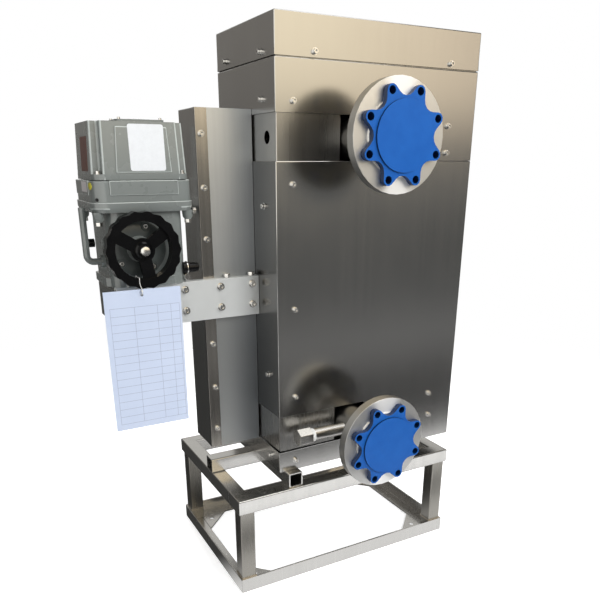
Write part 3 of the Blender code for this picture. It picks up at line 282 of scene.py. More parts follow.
sheet_tones = (0.41, 0.405, 0.395), (0.56, 0.555, 0.54)
casing_tones = (0.34, 0.334, 0.322), (0.46, 0.453, 0.438)
sheet_edge = 0.0004
sheet_fold = 0.0020
short_edge = 0.02
left_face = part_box("main_cover")[0].x + sheet_edge
sheet_finish = steel_finish("brushed_sheet", *sheet_tones, 0.20, "Z", 0.05)
casing_finish = steel_finish("casing_sheet", *casing_tones, 0.26, "Z", 0.05)
# The main cover's left side is painted darker, as painted shade from the side case beside it.
main_finish = steel_finish("main_sheet", *sheet_tones, 0.20, "Z", 0.05, painted_shade_to=left_face)
for node, finish in (("main_cover", main_finish), ("cabinet_lid", sheet_finish),
                     ("upper_cover", sheet_finish), ("bottom_tray", sheet_finish),
                     ("inner_casing", casing_finish)):
    soften(node, finish, sheet_edge, least=short_edge, fold=sheet_fold, boxy=True)


joined = 1e-7


def turned(bm, profile, steps):
    """Spin a profile of radius and height points about the Z axis."""
    verts = [bm.verts.new((r, 0, h)) for r, h in profile]
    edges = [bm.edges.new(pair) for pair in zip(verts, verts[1:])]
    bmesh.ops.spin(bm, geom=verts + edges, cent=(0, 0, 0), axis=(0, 0, 1), angle=2 * pi, steps=steps,
                   use_merge=True)


def as_shape(name, bm):
    """Close a bmesh, turn its faces outwards, and keep it as a mesh to stand copies of."""
    bmesh.ops.remove_doubles(bm, verts=bm.verts, dist=joined)
    bmesh.ops.recalc_face_normals(bm, faces=bm.faces)
    shape = bpy.data.meshes.new(name)
    bm.to_mesh(shape)
    bm.free()
    return shape


def turned_shape(name, profile, steps=24):
    """A shape turned about Z, from a profile that ends on the axis or closes on itself as a ring."""
    bm = bmesh.new()
    turned(bm, profile, steps)
    return as_shape(name, bm)


def cap_screw(head_r):
    """A socket-head screw on its washer, standing along Z on the sheet that it holds."""
    head_h = 1.2 * head_r
    washer_r = 1.3 * head_r
    washer_t = 0.2 * head_r
    socket_r = 0.5 * head_r
    socket_h = 0.55 * head_r
    chamfer = 0.1 * head_r
    top = washer_t + head_h
    bm = bmesh.new()
    turned(bm, [(0, -washer_t), (washer_r, -washer_t), (washer_r, washer_t), (head_r, washer_t),
                (head_r, top - chamfer), (head_r - chamfer, top), (socket_r * 1.25, top)], 20)
    turned(bm, [(socket_r, top), (socket_r, top - socket_h), (0, top - socket_h * 1.2)], 6)
    bmesh.ops.remove_doubles(bm, verts=bm.verts, dist=joined)
    rims = [e for e in bm.edges if e.is_boundary]
    bmesh.ops.bridge_loops(bm, edges=rims)
    return as_shape("cap_screw", bm)


def stand_out(bm, shape, spots, axis):
    """Stand copies of a Z-up shape on a list of spots, pointing out along an axis."""
    turn = Vector(axis).to_track_quat("Z", "Y").to_matrix().to_4x4()
    for seat in spots:
        stood = shape.copy()
        stood.transform(Matrix.Translation(seat) @ turn)
        bm.from_mesh(stood)
        bpy.data.meshes.remove(stood)


screw_finish = steel_finish("screw_steel", (0.60, 0.59, 0.57), (0.80, 0.79, 0.77), 0.22, "Z", 0.05)
cover_screw = cap_screw(0.0050)
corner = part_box("bottom_tray")[0]
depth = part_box("cabinet_lid")[1].y - corner.y


def spot(x, y, z):
    """A place given from the cabinet's lower front left corner."""
    return corner + Vector((x, y, z))


front_screws = [(0.083, 0.843), (0.406, 0.842), (0.038, 0.759), (0.410, 0.724), (0.410, 0.671),
                (0.037, 0.612), (0.041, 0.3665), (0.042, 0.174), (0.041, 0.023), (0.412, 0.120),
                (0.4155, 0.063)]
side_screws = [(0.058, 0.844), (0.226, 0.847), (0.058, 0.764), (0.053, 0.570), (0.045, 0.220),
               (0.041, 0.029)]
screws = bmesh.new()
stand_out(screws, cover_screw, [spot(x, 0, z) for x, z in front_screws], (0, -1, 0))
stand_out(screws, cover_screw, [spot(x, depth, z) for x, z in front_screws], (0, 1, 0))
stand_out(screws, cover_screw, [spot(0, y, z) for y, z in side_screws], (-1, 0, 0))
place_piece("cabinet_screws", screws, screw_finish, "cabinet")


# Flanges: weld-neck pipe flanges of forged stainless, on necks that pass the recessed bands.
# Their faces and rims are turned and show fine lathe rings, and their backs are left as forged.

# The faces are painted paler and the rims darker, as painted reflections, and each face has a painted
# highlight wedge.
face_depth = 0.0045
rim_depth = 0.0225
ring_waves = 5200
rim_waves = 4200


def turned_finish(name, node):
    """Steel with lathe rings about a flange's own axis, which runs along Y.

    The face is painted paler and the rim darker, as painted reflections, with a painted highlight wedge above
    and below the face's middle. The back is dark.
    """
    low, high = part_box(node)
    middle = (low + high) / 2
    finish, shader, place = new_finish(name)
    centred = place.node("Mapping", {}, {"Vector": place, "Location": (-middle.x, 0, -middle.z),
                                         "Scale": (1, 0, 1)})
    radius = place.node("VectorMath", {"operation": "LENGTH"}, {0: centred}, "Value")
    behind = place.along("Y")
    rings = (radius * ring_waves).math("SINE")
    rim = (behind * rim_waves).math("SINE")
    cloud = speckle(place, (30, 30, 30), 3.0)
    on_face = behind < low.y + face_depth
    on_back = behind > low.y + rim_depth
    upright = abs(centred.along("Z")).math("DIVIDE", radius)
    # Painted highlight: a paler, less metallic wedge above and below the face's middle.
    painted_highlight = upright.ease(0.90, 0.995) * on_face
    # Painted reflection: the rim is painted darker and the face paler.
    rim_painted_dark_tone = cloud.mix((0.36, 0.357, 0.35, 1), (0.46, 0.456, 0.448, 1))
    back_tone = cloud.mix((0.16, 0.157, 0.15, 1), (0.24, 0.236, 0.228, 1))
    face_and_rim_painted_tone = on_face.mix(rim_painted_dark_tone, (0.76, 0.755, 0.74, 1))
    bare_tone = on_back.mix(face_and_rim_painted_tone, back_tone)
    place.feed(shader, {"Metallic": 1.0 - 0.14 * on_face - 0.40 * painted_highlight,
                        "Base Color": painted_highlight.mix(bare_tone, (0.93, 0.925, 0.91, 1)),
                        "Roughness": 0.28 + 0.12 * cloud,
                        "Normal": relief(place, rings + rim, 0.00002)})
    return finish


flange_edge = 0.0010
for level, nodes in (("upper", ("upper_flange",)), ("lower", ("lower_flange", "lower_neck"))):
    lathe_finish = turned_finish("turned_" + level, level + "_flange")
    for node in nodes:
        soften(node, lathe_finish, flange_edge)

neck_low, neck_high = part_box("lower_neck")
neck_middle = (neck_low + neck_high) / 2
neck_r = (neck_high.x - neck_low.x) / 2
root_r = neck_r - 0.0010
toe_r = neck_r + 0.0003
crown_r = neck_r + 0.0012
weld_ring = turned_shape("neck_weld_ring", [(root_r, -0.0030), (toe_r, -0.0028), (crown_r, -0.0010),
                                            (crown_r, 0.0010), (toe_r, 0.0028), (root_r, 0.0030),
                                            (root_r, -0.0030)], 48)
neck_weld = bmesh.new()
stand_out(neck_weld, weld_ring, [(neck_middle.x, neck_low.y, neck_middle.z)], (0, -1, 0))
place_piece("lower_neck_weld", neck_weld, bead_finish, "cabinet")


# Flange caps: push-on covers moulded in blue plastic, with a raised disc and a lug on every bolt hole.
# Pegs behind the lugs grip the holes.

def moulded_finish(name, dark, light, rough, patches, skin, depth, painted_light_factor=1.0):
    """Plastic or paint with soft patches of tone and a fine skin of a real depth.

    Marked faces take the light tone, multiplied by a factor of their own: painted shade below 1, painted
    highlight above 1.
    """
    finish, shader, place = new_finish(name)
    marked = place.node("Attribute", {"attribute_name": "marked"}, {}, "Fac")
    flow = speckle(place, (patches, patches, patches), 4.0)
    grain = speckle(place, (skin, skin, skin), 2.0)
    body_tone = flow.mix((*dark, 1), (*light, 1))
    # Marked faces carry painted light: painted shade or painted highlight, by the factor.
    painted_light_tone = [min(0.9, painted_light_factor * c) for c in light]
    place.feed(shader, {"Base Color": marked.mix(body_tone, (*painted_light_tone, 1)),
                        "Roughness": rough + 0.14 * flow,
                        "Normal": relief(place, grain, depth)})
    return finish


def set_socket(finish, socket, value):
    """Set one number or colour on the shader of a finish."""
    finish.node_tree.nodes["Principled BSDF"].inputs[socket].default_value = value


def is_wall(face):
    """Whether a face of a cap looks sideways, across the pipe."""
    return abs(face.normal.y) < 0.4


# The caps' sideways walls are painted a darker blue, as painted shade.
cap_finish = moulded_finish("moulded_cap", (0.0010, 0.074, 0.33), (0.006, 0.108, 0.42), 0.36, 45, 900,
                            0.00005, painted_light_factor=0.22)
set_socket(cap_finish, "Specular IOR Level", 0.3)
cap_edge = 0.0012
for level in ("upper", "lower"):
    soften(level + "_flange_cap", cap_finish, cap_edge, steps=3, marked=is_wall)


# Drain branch: a short pipe welded into the lower neck, closed by a hexagon cap.
# White sealing tape shows as a ring beside the cap.

pipe_finish = steel_finish("drain_steel", (0.48, 0.47, 0.45), (0.66, 0.65, 0.63), 0.26, "X", 0.06)
pipe_edge = 0.0004
hexagon_edge = 0.0007
soften("drain_pipe", pipe_finish, pipe_edge)
soften("drain_cap", pipe_finish, hexagon_edge)
tape_finish, tape_shader, tape_place = new_finish("sealing_tape")
wind = speckle(tape_place, (1200, 200, 200), 3.0)
tape_place.feed(tape_shader, {"Base Color": wind.mix((0.70, 0.70, 0.68, 1), (0.86, 0.86, 0.84, 1)),
                              "Roughness": 0.5 + 0.2 * wind, "Normal": relief(tape_place, wind, 0.0002)})
frame["nodes"]["drain_seal"].data.materials[0] = tape_finish


# Side case: a tall folded box over the linkage, closed by a flat cover that still has its pale film on.
# A bare strip runs down the cover's left edge, and cap screws hold the cover through it.

case_fold = 0.0015
soften("side_case", sheet_finish, sheet_edge, fold=case_fold, boxy=True)
case_low, case_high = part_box("side_case_cover")
film_left = case_low.x + 0.024
# The film is painted darker and cooler towards the right and darker towards the bottom, as painted shade and
# reflection.
low_shade_top = case_low.z + 0.50
low_shade_foot = case_low.z + 0.22
film_finish, film_shader, film_place = new_finish("film_on_sheet")
across = film_place.along("X")
on_film = across > film_left
painted_right_shade = across.ease(film_left, case_high.x)
painted_low_shade = film_place.along("Z").ease(low_shade_top, low_shade_foot) * 0.8
streaks = speckle(film_place, (120, 120, 1.2), 3.0)
smear = speckle(film_place, (14, 14, 7), 4.0)
wiped = 0.55 * streaks + 0.45 * smear
pale_tone = wiped.mix((0.46, 0.47, 0.47, 1), (0.62, 0.63, 0.62, 1))
right_shade_tone = wiped.mix((0.27, 0.29, 0.31, 1), (0.38, 0.40, 0.42, 1))
film_tone = painted_right_shade.mix(pale_tone, right_shade_tone)
low_shade_tone = painted_right_shade.mix((0.34, 0.35, 0.35, 1), (0.20, 0.215, 0.23, 1))
strip_tone = streaks.mix((0.36, 0.34, 0.31, 1), (0.58, 0.55, 0.51, 1))
film_place.feed(film_shader, {"Metallic": 1.0 - 0.28 * on_film,
                              "Base Color": on_film.mix(strip_tone, painted_low_shade.mix(film_tone, low_shade_tone)),
                              "Roughness": 0.17 + 0.14 * on_film + 0.10 * smear,
                              "Normal": relief(film_place, smear, 0.0003)})
soften("side_case_cover", film_finish, sheet_edge, boxy=True)
strip_screws = [(-0.107, 0.704), (-0.106, 0.605), (-0.1055, 0.506), (-0.1045, 0.390), (-0.103, 0.287),
                (-0.102, 0.1885), (-0.102, 0.091)]
strip_face = case_low.y - corner.y
screws = bmesh.new()
stand_out(screws, cover_screw, [spot(x, strip_face, z) for x, z in strip_screws], (0, -1, 0))
place_piece("case_screws", screws, screw_finish, "cabinet")


# Bracket: bent stainless plate bolted across the side case, which carries the actuator on a thick plate.
# Two rows of cap screws hold its front, and two hexagon bolts stand on its ledge.

plate_finish, plate_shader, plate_place = new_finish("filmed_plate")
grain = speckle(plate_place, (160, 160, 160), 3.0)
haze = speckle(plate_place, (10, 10, 10), 4.0)
plate_place.feed(plate_shader, {"Metallic": 0.35 + 0.1 * haze,
                                "Base Color": haze.mix((0.58, 0.60, 0.60, 1), (0.74, 0.76, 0.76, 1)),
                                "Roughness": 0.40 + 0.12 * grain,
                                "Normal": relief(plate_place, grain, 0.00004)})
plate_edge = 0.0008
for node, finish in (("bracket_front_plate", plate_finish), ("actuator_plate", sheet_finish),
                     ("bracket_frame", sheet_finish)):
    soften(node, finish, plate_edge)
bracket_low, bracket_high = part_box("bracket_front_plate")
bracket_face = bracket_low.y - corner.y
front_spots = [spot(x, bracket_face, z) for x in (-0.1635, -0.0872, -0.0163) for z in (0.4122, 0.3694)]
screws = bmesh.new()
stand_out(screws, cap_screw(0.0060), front_spots, (0, -1, 0))


def hex_bolt(flats, height):
    """A hexagon bolt head with a chamfered top, standing along Z."""
    corner_r = 0.5774 * flats
    chamfer = 0.06 * flats
    bm = bmesh.new()
    bmesh.ops.create_cone(bm, cap_ends=True, segments=6, radius1=corner_r, radius2=corner_r, depth=height)
    bmesh.ops.translate(bm, verts=bm.verts, vec=(0, 0, height / 2))
    bmesh.ops.bevel(bm, geom=bm.edges, offset=chamfer, segments=2, profile=0.5, affect="EDGES", material=-1)
    return as_shape("hex_bolt", bm)


ledge_y = bracket_face + 0.0095
ledge_z = bracket_high.z - corner.z
ledge_bolts = [spot(x, ledge_y, ledge_z) for x in (-0.069, -0.015)]
stand_out(screws, hex_bolt(0.013, 0.008), ledge_bolts, (0, 0, 1))
place_piece("bracket_screws", screws, screw_finish, "cabinet")


# Actuator castings: a gear case, a housing and a deep cover, cast in aluminium and sprayed grey-green.
# The clutch lever, a bent rod, is sprayed with them.

# The rounded edges of the castings are painted paler, as painted highlights.
enamel_finish = moulded_finish("grey_enamel", (0.165, 0.182, 0.174), (0.210, 0.228, 0.218), 0.20, 12, 700,
                               0.00005, painted_light_factor=2.1)
set_socket(enamel_finish, "Coat Weight", 0.7)
set_socket(enamel_finish, "Coat Roughness", 0.08)


def rounds_edge(face):
    """Whether a narrow face rounds an edge of a casting, and doesn't look down."""
    longest = max(1e-9, *(e.calc_length() for e in face.edges))
    return face.calc_area() / longest < 0.0035 and face.normal.z > -0.3


for node, edge in (("gear_case", 0.0016), ("actuator_housing", 0.0026), ("actuator_cover", 0.0022)):
    soften(node, enamel_finish, edge, steps=3, marked=rounds_edge)
lever_edge = 0.0008
soften("clutch_lever", enamel_finish, lever_edge)


# Casting trim: a rim round the housing's foot, flat pads on its sides and a lug under each corner.
# All of it is cast in one with the housing, and sprayed with it.

housing_low, housing_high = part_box("actuator_housing")
housing_round = 0.026
rim_proud = 0.0024
rim_lift = 0.0002
rim_h = 0.018
rim_slope = 0.007
rim_edge = 0.0013
rim_low = Vector((housing_low.x - rim_proud, housing_low.y - rim_proud, housing_low.z + rim_lift))
rim_high = Vector((housing_high.x + rim_proud, housing_high.y + rim_proud, housing_low.z + rim_h))
rim_middle = (rim_low + rim_high) / 2
slope_middle = rim_low.z + rim_slope / 2
casting = bmesh.new()
rim = bmesh.ops.create_cube(casting, size=1.0)["verts"]
bmesh.ops.scale(casting, verts=rim, vec=rim_high - rim_low)
bmesh.ops.translate(casting, verts=rim, vec=rim_middle)
upright = [e for e in casting.edges if abs(e.verts[0].co.z - e.verts[1].co.z) > rim_h / 2]
bmesh.ops.bevel(casting, geom=upright, offset=housing_round + rim_proud, segments=8, profile=0.5,
                affect="EDGES", material=-1)
bmesh.ops.bisect_plane(casting, geom=casting.verts[:] + casting.edges[:] + casting.faces[:],
                       plane_co=(0, 0, rim_low.z + rim_slope), plane_no=(0, 0, 1))
foot = [v for v in casting.verts if v.co.z < slope_middle]
shrink = [(high - low) / (high - low + 2 * rim_proud)
          for low, high in zip(housing_low[:2], housing_high[:2])]
bmesh.ops.scale(casting, verts=foot, vec=(*shrink, 1), space=Matrix.Translation(-rim_middle))
ridge = [e for e in casting.edges
         if all(v.co.z > slope_middle for v in e.verts) and e.calc_face_angle(0) > radians(20)]
bmesh.ops.bevel(casting, geom=ridge, offset=rim_edge, segments=3, profile=0.5, affect="EDGES", material=-1)

pad_proud = 0.0022
pad_end = 0.030
pad_edge = 0.0012
pad_low = housing_high.z - 0.0260
pad_high = housing_high.z - 0.0005
for in_x, in_y in ((pad_end, -pad_proud), (-pad_proud, pad_end)):
    block(casting, (housing_low.x + in_x, housing_low.y + in_y, pad_low),
          (housing_high.x - in_x, housing_high.y - in_y, pad_high), pad_edge, 3)
# The trim's rounded edges are marked for the enamel's painted highlight.
mark_faces(casting, rounds_edge)

lug = turned_shape("casting_lug", [(0, -0.018), (0.006, -0.018), (0.0095, -0.013), (0.0110, 0.0), (0, 0.0)])
lug_in = 0.009
lug_top = housing_low.z + 0.001
lug_spots = [(x, y, lug_top) for x in (housing_low.x + lug_in, housing_high.x - lug_in)
             for y in (housing_low.y + 2 * lug_in, housing_high.y - 2 * lug_in)]
stand_out(casting, lug, lug_spots, (0, 0, 1))
place_piece("casting_trim", casting, enamel_finish, "cabinet")


# Actuator screws: cap screws in the cover's corner notches and round the window's boss.
# Hexagon bolts hold the lugs from below, and one more sits in the housing's right side.

cover_low, cover_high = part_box("actuator_cover")
flange_top = cover_low.z + 0.010
notch_in = 0.0115
notch_spots = [(x, y, flange_top) for x in (cover_low.x + notch_in, cover_high.x - notch_in)
               for y in (cover_low.y + notch_in, cover_high.y - notch_in)]
window_low, window_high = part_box("indicator_window")
boss_middle = (window_low + window_high) / 2
boss_spots = [(boss_middle.x + x, boss_middle.y + y, cover_high.z)
              for x in (-0.0385, 0.0385) for y in (-0.031, 0.031)]
lug_bolt = hex_bolt(0.012, 0.007)
lug_foot = housing_low.z - 0.0165
side_bolt = (housing_high.x - 0.001, lug_spots[0][1] - 0.004, housing_low.z - 0.002)
screws = bmesh.new()
stand_out(screws, cap_screw(0.0042), notch_spots, (0, 0, 1))
stand_out(screws, cap_screw(0.0026), boss_spots, (0, 0, 1))
stand_out(screws, lug_bolt, [(x, y, lug_foot) for x, y, z in lug_spots], (0, 0, -1))
stand_out(screws, lug_bolt, [side_bolt], (1, 0, 0))
place_piece("actuator_screws", screws, screw_finish, "cabinet")


# Position window: a clear moulded disc over the pointer, seated in the boss on top of the cover.
# Handling has left a faint mist on it.

window_finish, window_shader, window_place = new_finish("clear_window")
set_socket(window_finish, "Alpha", 0.35)
mist = speckle(window_place, (80, 80, 80), 3.0)
window_place.feed(window_shader, {"Base Color": mist.mix((0.70, 0.74, 0.74, 1), (0.84, 0.87, 0.87, 1)),
                                  "Roughness": 0.05 + 0.10 * mist})
frame["nodes"]["indicator_window"].data.materials[0] = window_finish


# Fittings: a cable gland, a plug and a pin, moulded in glossy black.
# They are screwed into the sides of the gear case and the housing.

black_finish = moulded_finish("glossy_black", (0.0015, 0.0015, 0.0018), (0.0045, 0.0045, 0.005), 0.14, 40,
                              800, 0.00004)
set_socket(black_finish, "Specular IOR Level", 0.22)
gland = turned_shape("gland", [(0, -0.006), (0.0115, -0.006), (0.0115, 0.004), (0.0098, 0.005),
                               (0.0098, 0.018), (0.0088, 0.020), (0.0088, 0.024), (0.0070, 0.026),
                               (0, 0.026)])
plug = turned_shape("plug", [(0, -0.002), (0.0082, -0.002), (0.0082, 0.0085), (0.0070, 0.0100),
                             (0.0040, 0.0100), (0.0040, 0.0060), (0, 0.0060)])
pin = turned_shape("pin", [(0, -0.003), (0.0030, -0.003), (0.0030, 0.0008), (0.0022, 0.0014),
                           (0, 0.0014)], 16)
gland_spot = spot(-0.160, 0.085, 0.456)
plug_spot = (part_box("gear_case")[0].x, gland_spot.y + 0.095, corner.z + 0.503)
pin_spot = spot(-0.3204, 0.0736, 0.589)
fittings = bmesh.new()
stand_out(fittings, gland, [gland_spot], (1, 0, 0))
stand_out(fittings, plug, [plug_spot], (-1, 0, 0))
stand_out(fittings, pin, [pin_spot], (-1, -1, 0))
place_piece("actuator_fittings", fittings, black_finish, "cabinet")


# Cover panel: a raised field cast on the front of the cover, narrower towards its top.
# It leans back with the draft of the cover's walls.

draft = 0.05 / (cover_high.z - cover_low.z)
front_lean = draft * (cover_high.y - cover_low.y) / 2
facing_front = Matrix.Rotation(pi / 2 - front_lean, 4, "X")
panel_half = 0.049
panel_taper = 0.05
panel_proud = 0.0022
panel_edge = 0.0018
panel_h = cover_high.z - flange_top - 0.016
panel_z = flange_top + 0.002 + panel_h / 2
panel_y = cover_low.y + front_lean * (panel_z - cover_low.z)
panel_seat = Matrix.Translation((corner.x - 0.2312, panel_y, panel_z)) @ facing_front
panel = bmesh.new()
block(panel, (-panel_half, -panel_h / 2, -panel_proud), (panel_half, panel_h / 2, panel_proud), panel_edge, 3)
for v in panel.verts:
    v.co.x *= 1 - panel_taper * v.co.y / (panel_h / 2)
# The panel's rounded edges are marked for the enamel's painted highlight.
mark_faces(panel, rounds_edge)
bmesh.ops.transform(panel, matrix=panel_seat, verts=panel.verts)
place_piece("cover_panel", panel, enamel_finish, "cabinet")


# Plates: thin blank plates stuck on the cover's front and left side and on the housing's left pad.
# A small round yellow dot is stuck on beside them.

def blank_plate(name, size, thickness, seat, tone, gloss, metallic):
    """A thin plate with rounded corners and nothing on it."""
    finish, shader, place = new_finish(name)
    wear = speckle(place, (160, 160, 160), 3.0)
    worn = [0.88 * c for c in tone]
    place.feed(shader, {"Metallic": metallic, "Base Color": wear.mix((*worn, 1), (*tone, 1)),
                        "Roughness": gloss + 0.1 * wear})
    corner_r = 0.06 * min(size)
    bm = bmesh.new()
    bmesh.ops.create_cube(bm, size=1.0)
    bmesh.ops.scale(bm, verts=bm.verts, vec=(*size, thickness))
    stems = [e for e in bm.edges if abs(e.verts[0].co.z - e.verts[1].co.z) > thickness / 2]
    bmesh.ops.bevel(bm, geom=stems, offset=corner_r, segments=3, profile=0.5, affect="EDGES", material=-1)
    bmesh.ops.transform(bm, matrix=seat, verts=bm.verts)
    place_piece(name, bm, finish, "cabinet")


plate_t = 0.0006
plate_z = corner.z + 0.677
plate_y = cover_low.y + front_lean * (plate_z - cover_low.z) - panel_proud
front_seat = Matrix.Translation((corner.x - 0.2235, plate_y, plate_z)) @ facing_front
blank_plate("cover_plate", (0.065, 0.0785), plate_t, front_seat, (0.78, 0.80, 0.82), 0.3, 0.0)

side_t = 0.0010
side_lean = draft * (cover_high.x - cover_low.x) / 2
side_z = corner.z + 0.6665
side_x = cover_low.x + side_lean * (side_z - cover_low.z)
to_left = Matrix.Rotation(-pi / 2, 4, "Z")
facing_side = to_left @ Matrix.Rotation(pi / 2 - side_lean, 4, "X")
side_seat = Matrix.Translation((side_x, corner.y + 0.139, side_z)) @ facing_side
blank_plate("side_plate", (0.054, 0.059), side_t, side_seat, (0.16, 0.055, 0.040), 0.35, 0.35)

label_spot = (housing_low.x - pad_proud, corner.y + 0.127, corner.z + 0.6105)
label_seat = Matrix.Translation(label_spot) @ to_left @ Matrix.Rotation(pi / 2, 4, "X")
blank_plate("housing_label", (0.046, 0.018), plate_t, label_seat, (0.62, 0.58, 0.58), 0.4, 0.0)

dot_finish = moulded_finish("yellow_dot", (0.52, 0.46, 0.02), (0.62, 0.56, 0.04), 0.35, 60, 700, 0.00004)
dot_shape = turned_shape("dot", [(0, -0.001), (0.0062, -0.001), (0.0062, 0.0003), (0.0056, 0.0006),
                                 (0, 0.0006)])
dot = bmesh.new()
stand_out(dot, dot_shape, [spot(-0.3277, 0.0872, 0.612)], (-0.98, -0.19, 0))
place_piece("earth_dot", dot, dot_finish, "cabinet")


# Gear cover: a shallow dished casting in darker enamel, round the worm shaft behind the handwheel.
# Three cap screws in collars hold it, and the gland's washer and a foot bolt sit beside it.

dark_enamel = moulded_finish("dark_enamel", (0.050, 0.058, 0.055), (0.080, 0.090, 0.086), 0.14, 20, 700,
                             0.00005)
shaft_low, shaft_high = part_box("worm_shaft")
shaft_middle = (shaft_low + shaft_high) / 2
cover_seat = corner.y + 0.078
collar_seat = cover_seat - 0.0015
dome = turned_shape("gear_cover", [(0.0170, 0.0075), (0.030, 0.0075), (0.042, 0.0060), (0.0500, 0.0045),
                                   (0.052, 0.003), (0.052, -0.002), (0.0170, -0.002), (0.0170, 0.0075)], 48)
collar = turned_shape("gear_cover_collar", [(0.0060, 0.0030), (0.0060, 0.0062), (0.0085, 0.0062),
                                            (0.0092, 0.0050), (0.0092, 0.0), (0.0060, 0.0), (0.0060, 0.0030)])
collar_spots = [(shaft_middle.x + x, collar_seat, shaft_middle.z + z)
                for x, z in ((0.0155, 0.0400), (0.0250, -0.0345), (-0.0350, -0.0260))]
gear_cover = bmesh.new()
stand_out(gear_cover, dome, [(shaft_middle.x, cover_seat, shaft_middle.z)], (0, -1, 0))
stand_out(gear_cover, collar, collar_spots, (0, -1, 0))
place_piece("gear_cover", gear_cover, dark_enamel, "cabinet")

washer = turned_shape("gland_washer", [(0, 0.0), (0.0130, 0.0), (0.0130, 0.0016), (0.0126, 0.0020),
                                       (0, 0.0020)])
washer_spot = gland_spot + Vector((0.0005, 0, 0))
foot_bolt = spot(-0.162, 0.085, 0.4395)
screws = bmesh.new()
stand_out(screws, cap_screw(0.0044), collar_spots, (0, -1, 0))
stand_out(screws, washer, [washer_spot], (1, 0, 0))
stand_out(screws, lug_bolt, [foot_bolt], (0.35, -0.9, 0))
place_piece("gear_cover_screws", screws, screw_finish, "cabinet")


# Handwheel: a scalloped wheel moulded in glossy black, held on the worm shaft by a bright screw.
# The string of the card hangs on its rim.

wheel_edge = 0.0042
soften("handwheel", black_finish, wheel_edge, steps=4)
hub_screw = turned_shape("hub_screw", [(0, -0.002), (0.0088, -0.002), (0.0090, 0.0), (0.0090, 0.0026),
                                       (0.0080, 0.0040), (0.0050, 0.0050), (0, 0.0053)], 32)
hub = bmesh.new()
stand_out(hub, hub_screw, [(shaft_middle.x, shaft_low.y, shaft_middle.z)], (0, -1, 0))
place_piece("hub_screw", hub, screw_finish, body_of["handwheel"])


# Card: a form on stiff laminated paper, ruled in columns and rows with every space left empty.
# It hangs from a hole at its top edge.

card_low, card_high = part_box("tag_card")
card_finish, card_shader, card_place = new_finish("ruled_card")
from_left = card_place.along("X") - card_low.x
down = card_high.z - card_place.along("Z")
on_front = card_place.along("Y") < (card_low.y + card_high.y) / 2
line_half = 0.0003
table_top = 0.032
row_h = 0.0152
row_count = 15
table_foot = table_top + row_h * row_count
rulings = (0.0095, 0.0545, 0.098, 0.124, 0.141)
in_rows = (down > table_top - line_half) * (down < table_foot + line_half)
in_columns = (from_left > rulings[0] - line_half) * (from_left < rulings[-1] + line_half)
in_row = (down - table_top + line_half).math("MODULO", row_h)
ruled = (in_row < 2 * line_half) * in_columns
for ruling in rulings:
    ruled = ruled + (abs(from_left - ruling) < line_half)
lines = (ruled * in_rows * on_front).math("MINIMUM", 1.0)
pulp = speckle(card_place, (25, 25, 25), 4.0)
paper_tone = pulp.mix((0.51, 0.58, 0.73, 1), (0.57, 0.64, 0.79, 1))
card_place.feed(card_shader, {"Base Color": lines.mix(paper_tone, (0.27, 0.31, 0.42, 1)),
                              "Roughness": 0.32 + 0.2 * pulp, "Coat Weight": 0.2 + 0.2 * pulp,
                              "Normal": relief(card_place, pulp, 0.0004)})
frame["nodes"]["tag_card"].data.materials[0] = card_finish


# String: a loop of white cotton, tied through the card's hole and hung over the handwheel's rim.
# The knot is three turns of the same string.

cotton_finish, cotton_shader, cotton_place = new_finish("cotton_string")
fibre = speckle(cotton_place, (2600, 2600, 900), 3.0)
cotton_place.feed(cotton_shader, {"Base Color": fibre.mix((0.58, 0.57, 0.54, 1), (0.80, 0.79, 0.76, 1)),
                                  "Roughness": 0.75 + 0.15 * fibre,
                                  "Normal": relief(cotton_place, fibre, 0.0002)})
string_x = -0.33545
string_d = 0.0016
string_route = [(-0.08245, 0.6970), (-0.08245, 0.6995), (-0.08175, 0.7030), (-0.07675, 0.7060),
                (-0.07135, 0.7115), (-0.07135, 0.71405), (-0.07070, 0.7200), (-0.05775, 0.71987),
                (-0.04480, 0.7200), (-0.04415, 0.70904), (-0.04480, 0.69808), (-0.05275, 0.69643),
                (-0.06575, 0.6942), (-0.07525, 0.6927), (-0.08025, 0.6927), (-0.08275, 0.6931),
                (-0.08469, 0.6967), (-0.08469, 0.6997)]
thread = bpy.data.curves.new("string_loop", "CURVE")
thread.dimensions = "3D"
thread.bevel_depth = string_d / 2
thread.bevel_resolution = 3
thread.use_fill_caps = True
thread.materials.append(cotton_finish)
run = thread.splines.new("BEZIER")
run.resolution_u = 10
run.bezier_points.add(len(string_route) - 1)
for point, (y, z) in zip(run.bezier_points, string_route):
    point.co = (string_x, y, z)
    point.handle_left_type = "AUTO"
    point.handle_right_type = "AUTO"
string_loop = bpy.data.objects.new("string_loop", thread)
bpy.context.collection.objects.link(string_loop)
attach(string_loop, body_of["tag_string"])
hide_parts("tag_string")

knot_r = 0.0019
knot_spot = (string_x, -0.0836, 0.6985)
half = string_d / 2
skew = string_d * 0.35
knot_turn = turned_shape("knot_turn", [(knot_r + half, 0), (knot_r + skew, skew), (knot_r, half),
                                       (knot_r - skew, skew), (knot_r - half, 0), (knot_r - skew, -skew),
                                       (knot_r, -half), (knot_r + skew, -skew), (knot_r + half, 0)], 16)
knot_bm = bmesh.new()
for tilt in (0, 60, 120):
    turn_axis = Matrix.Rotation(radians(tilt), 3, "X") @ Vector((1, 0.4, 0.3))
    stand_out(knot_bm, knot_turn, [knot_spot], turn_axis)
knot = place_piece("string_knot", knot_bm, cotton_finish, body_of["tag_string"])


# Inner works: the ball valves and chamber, the linkage and the gear train, in plain machined metals.
# They show only where the case or the bracket is open.

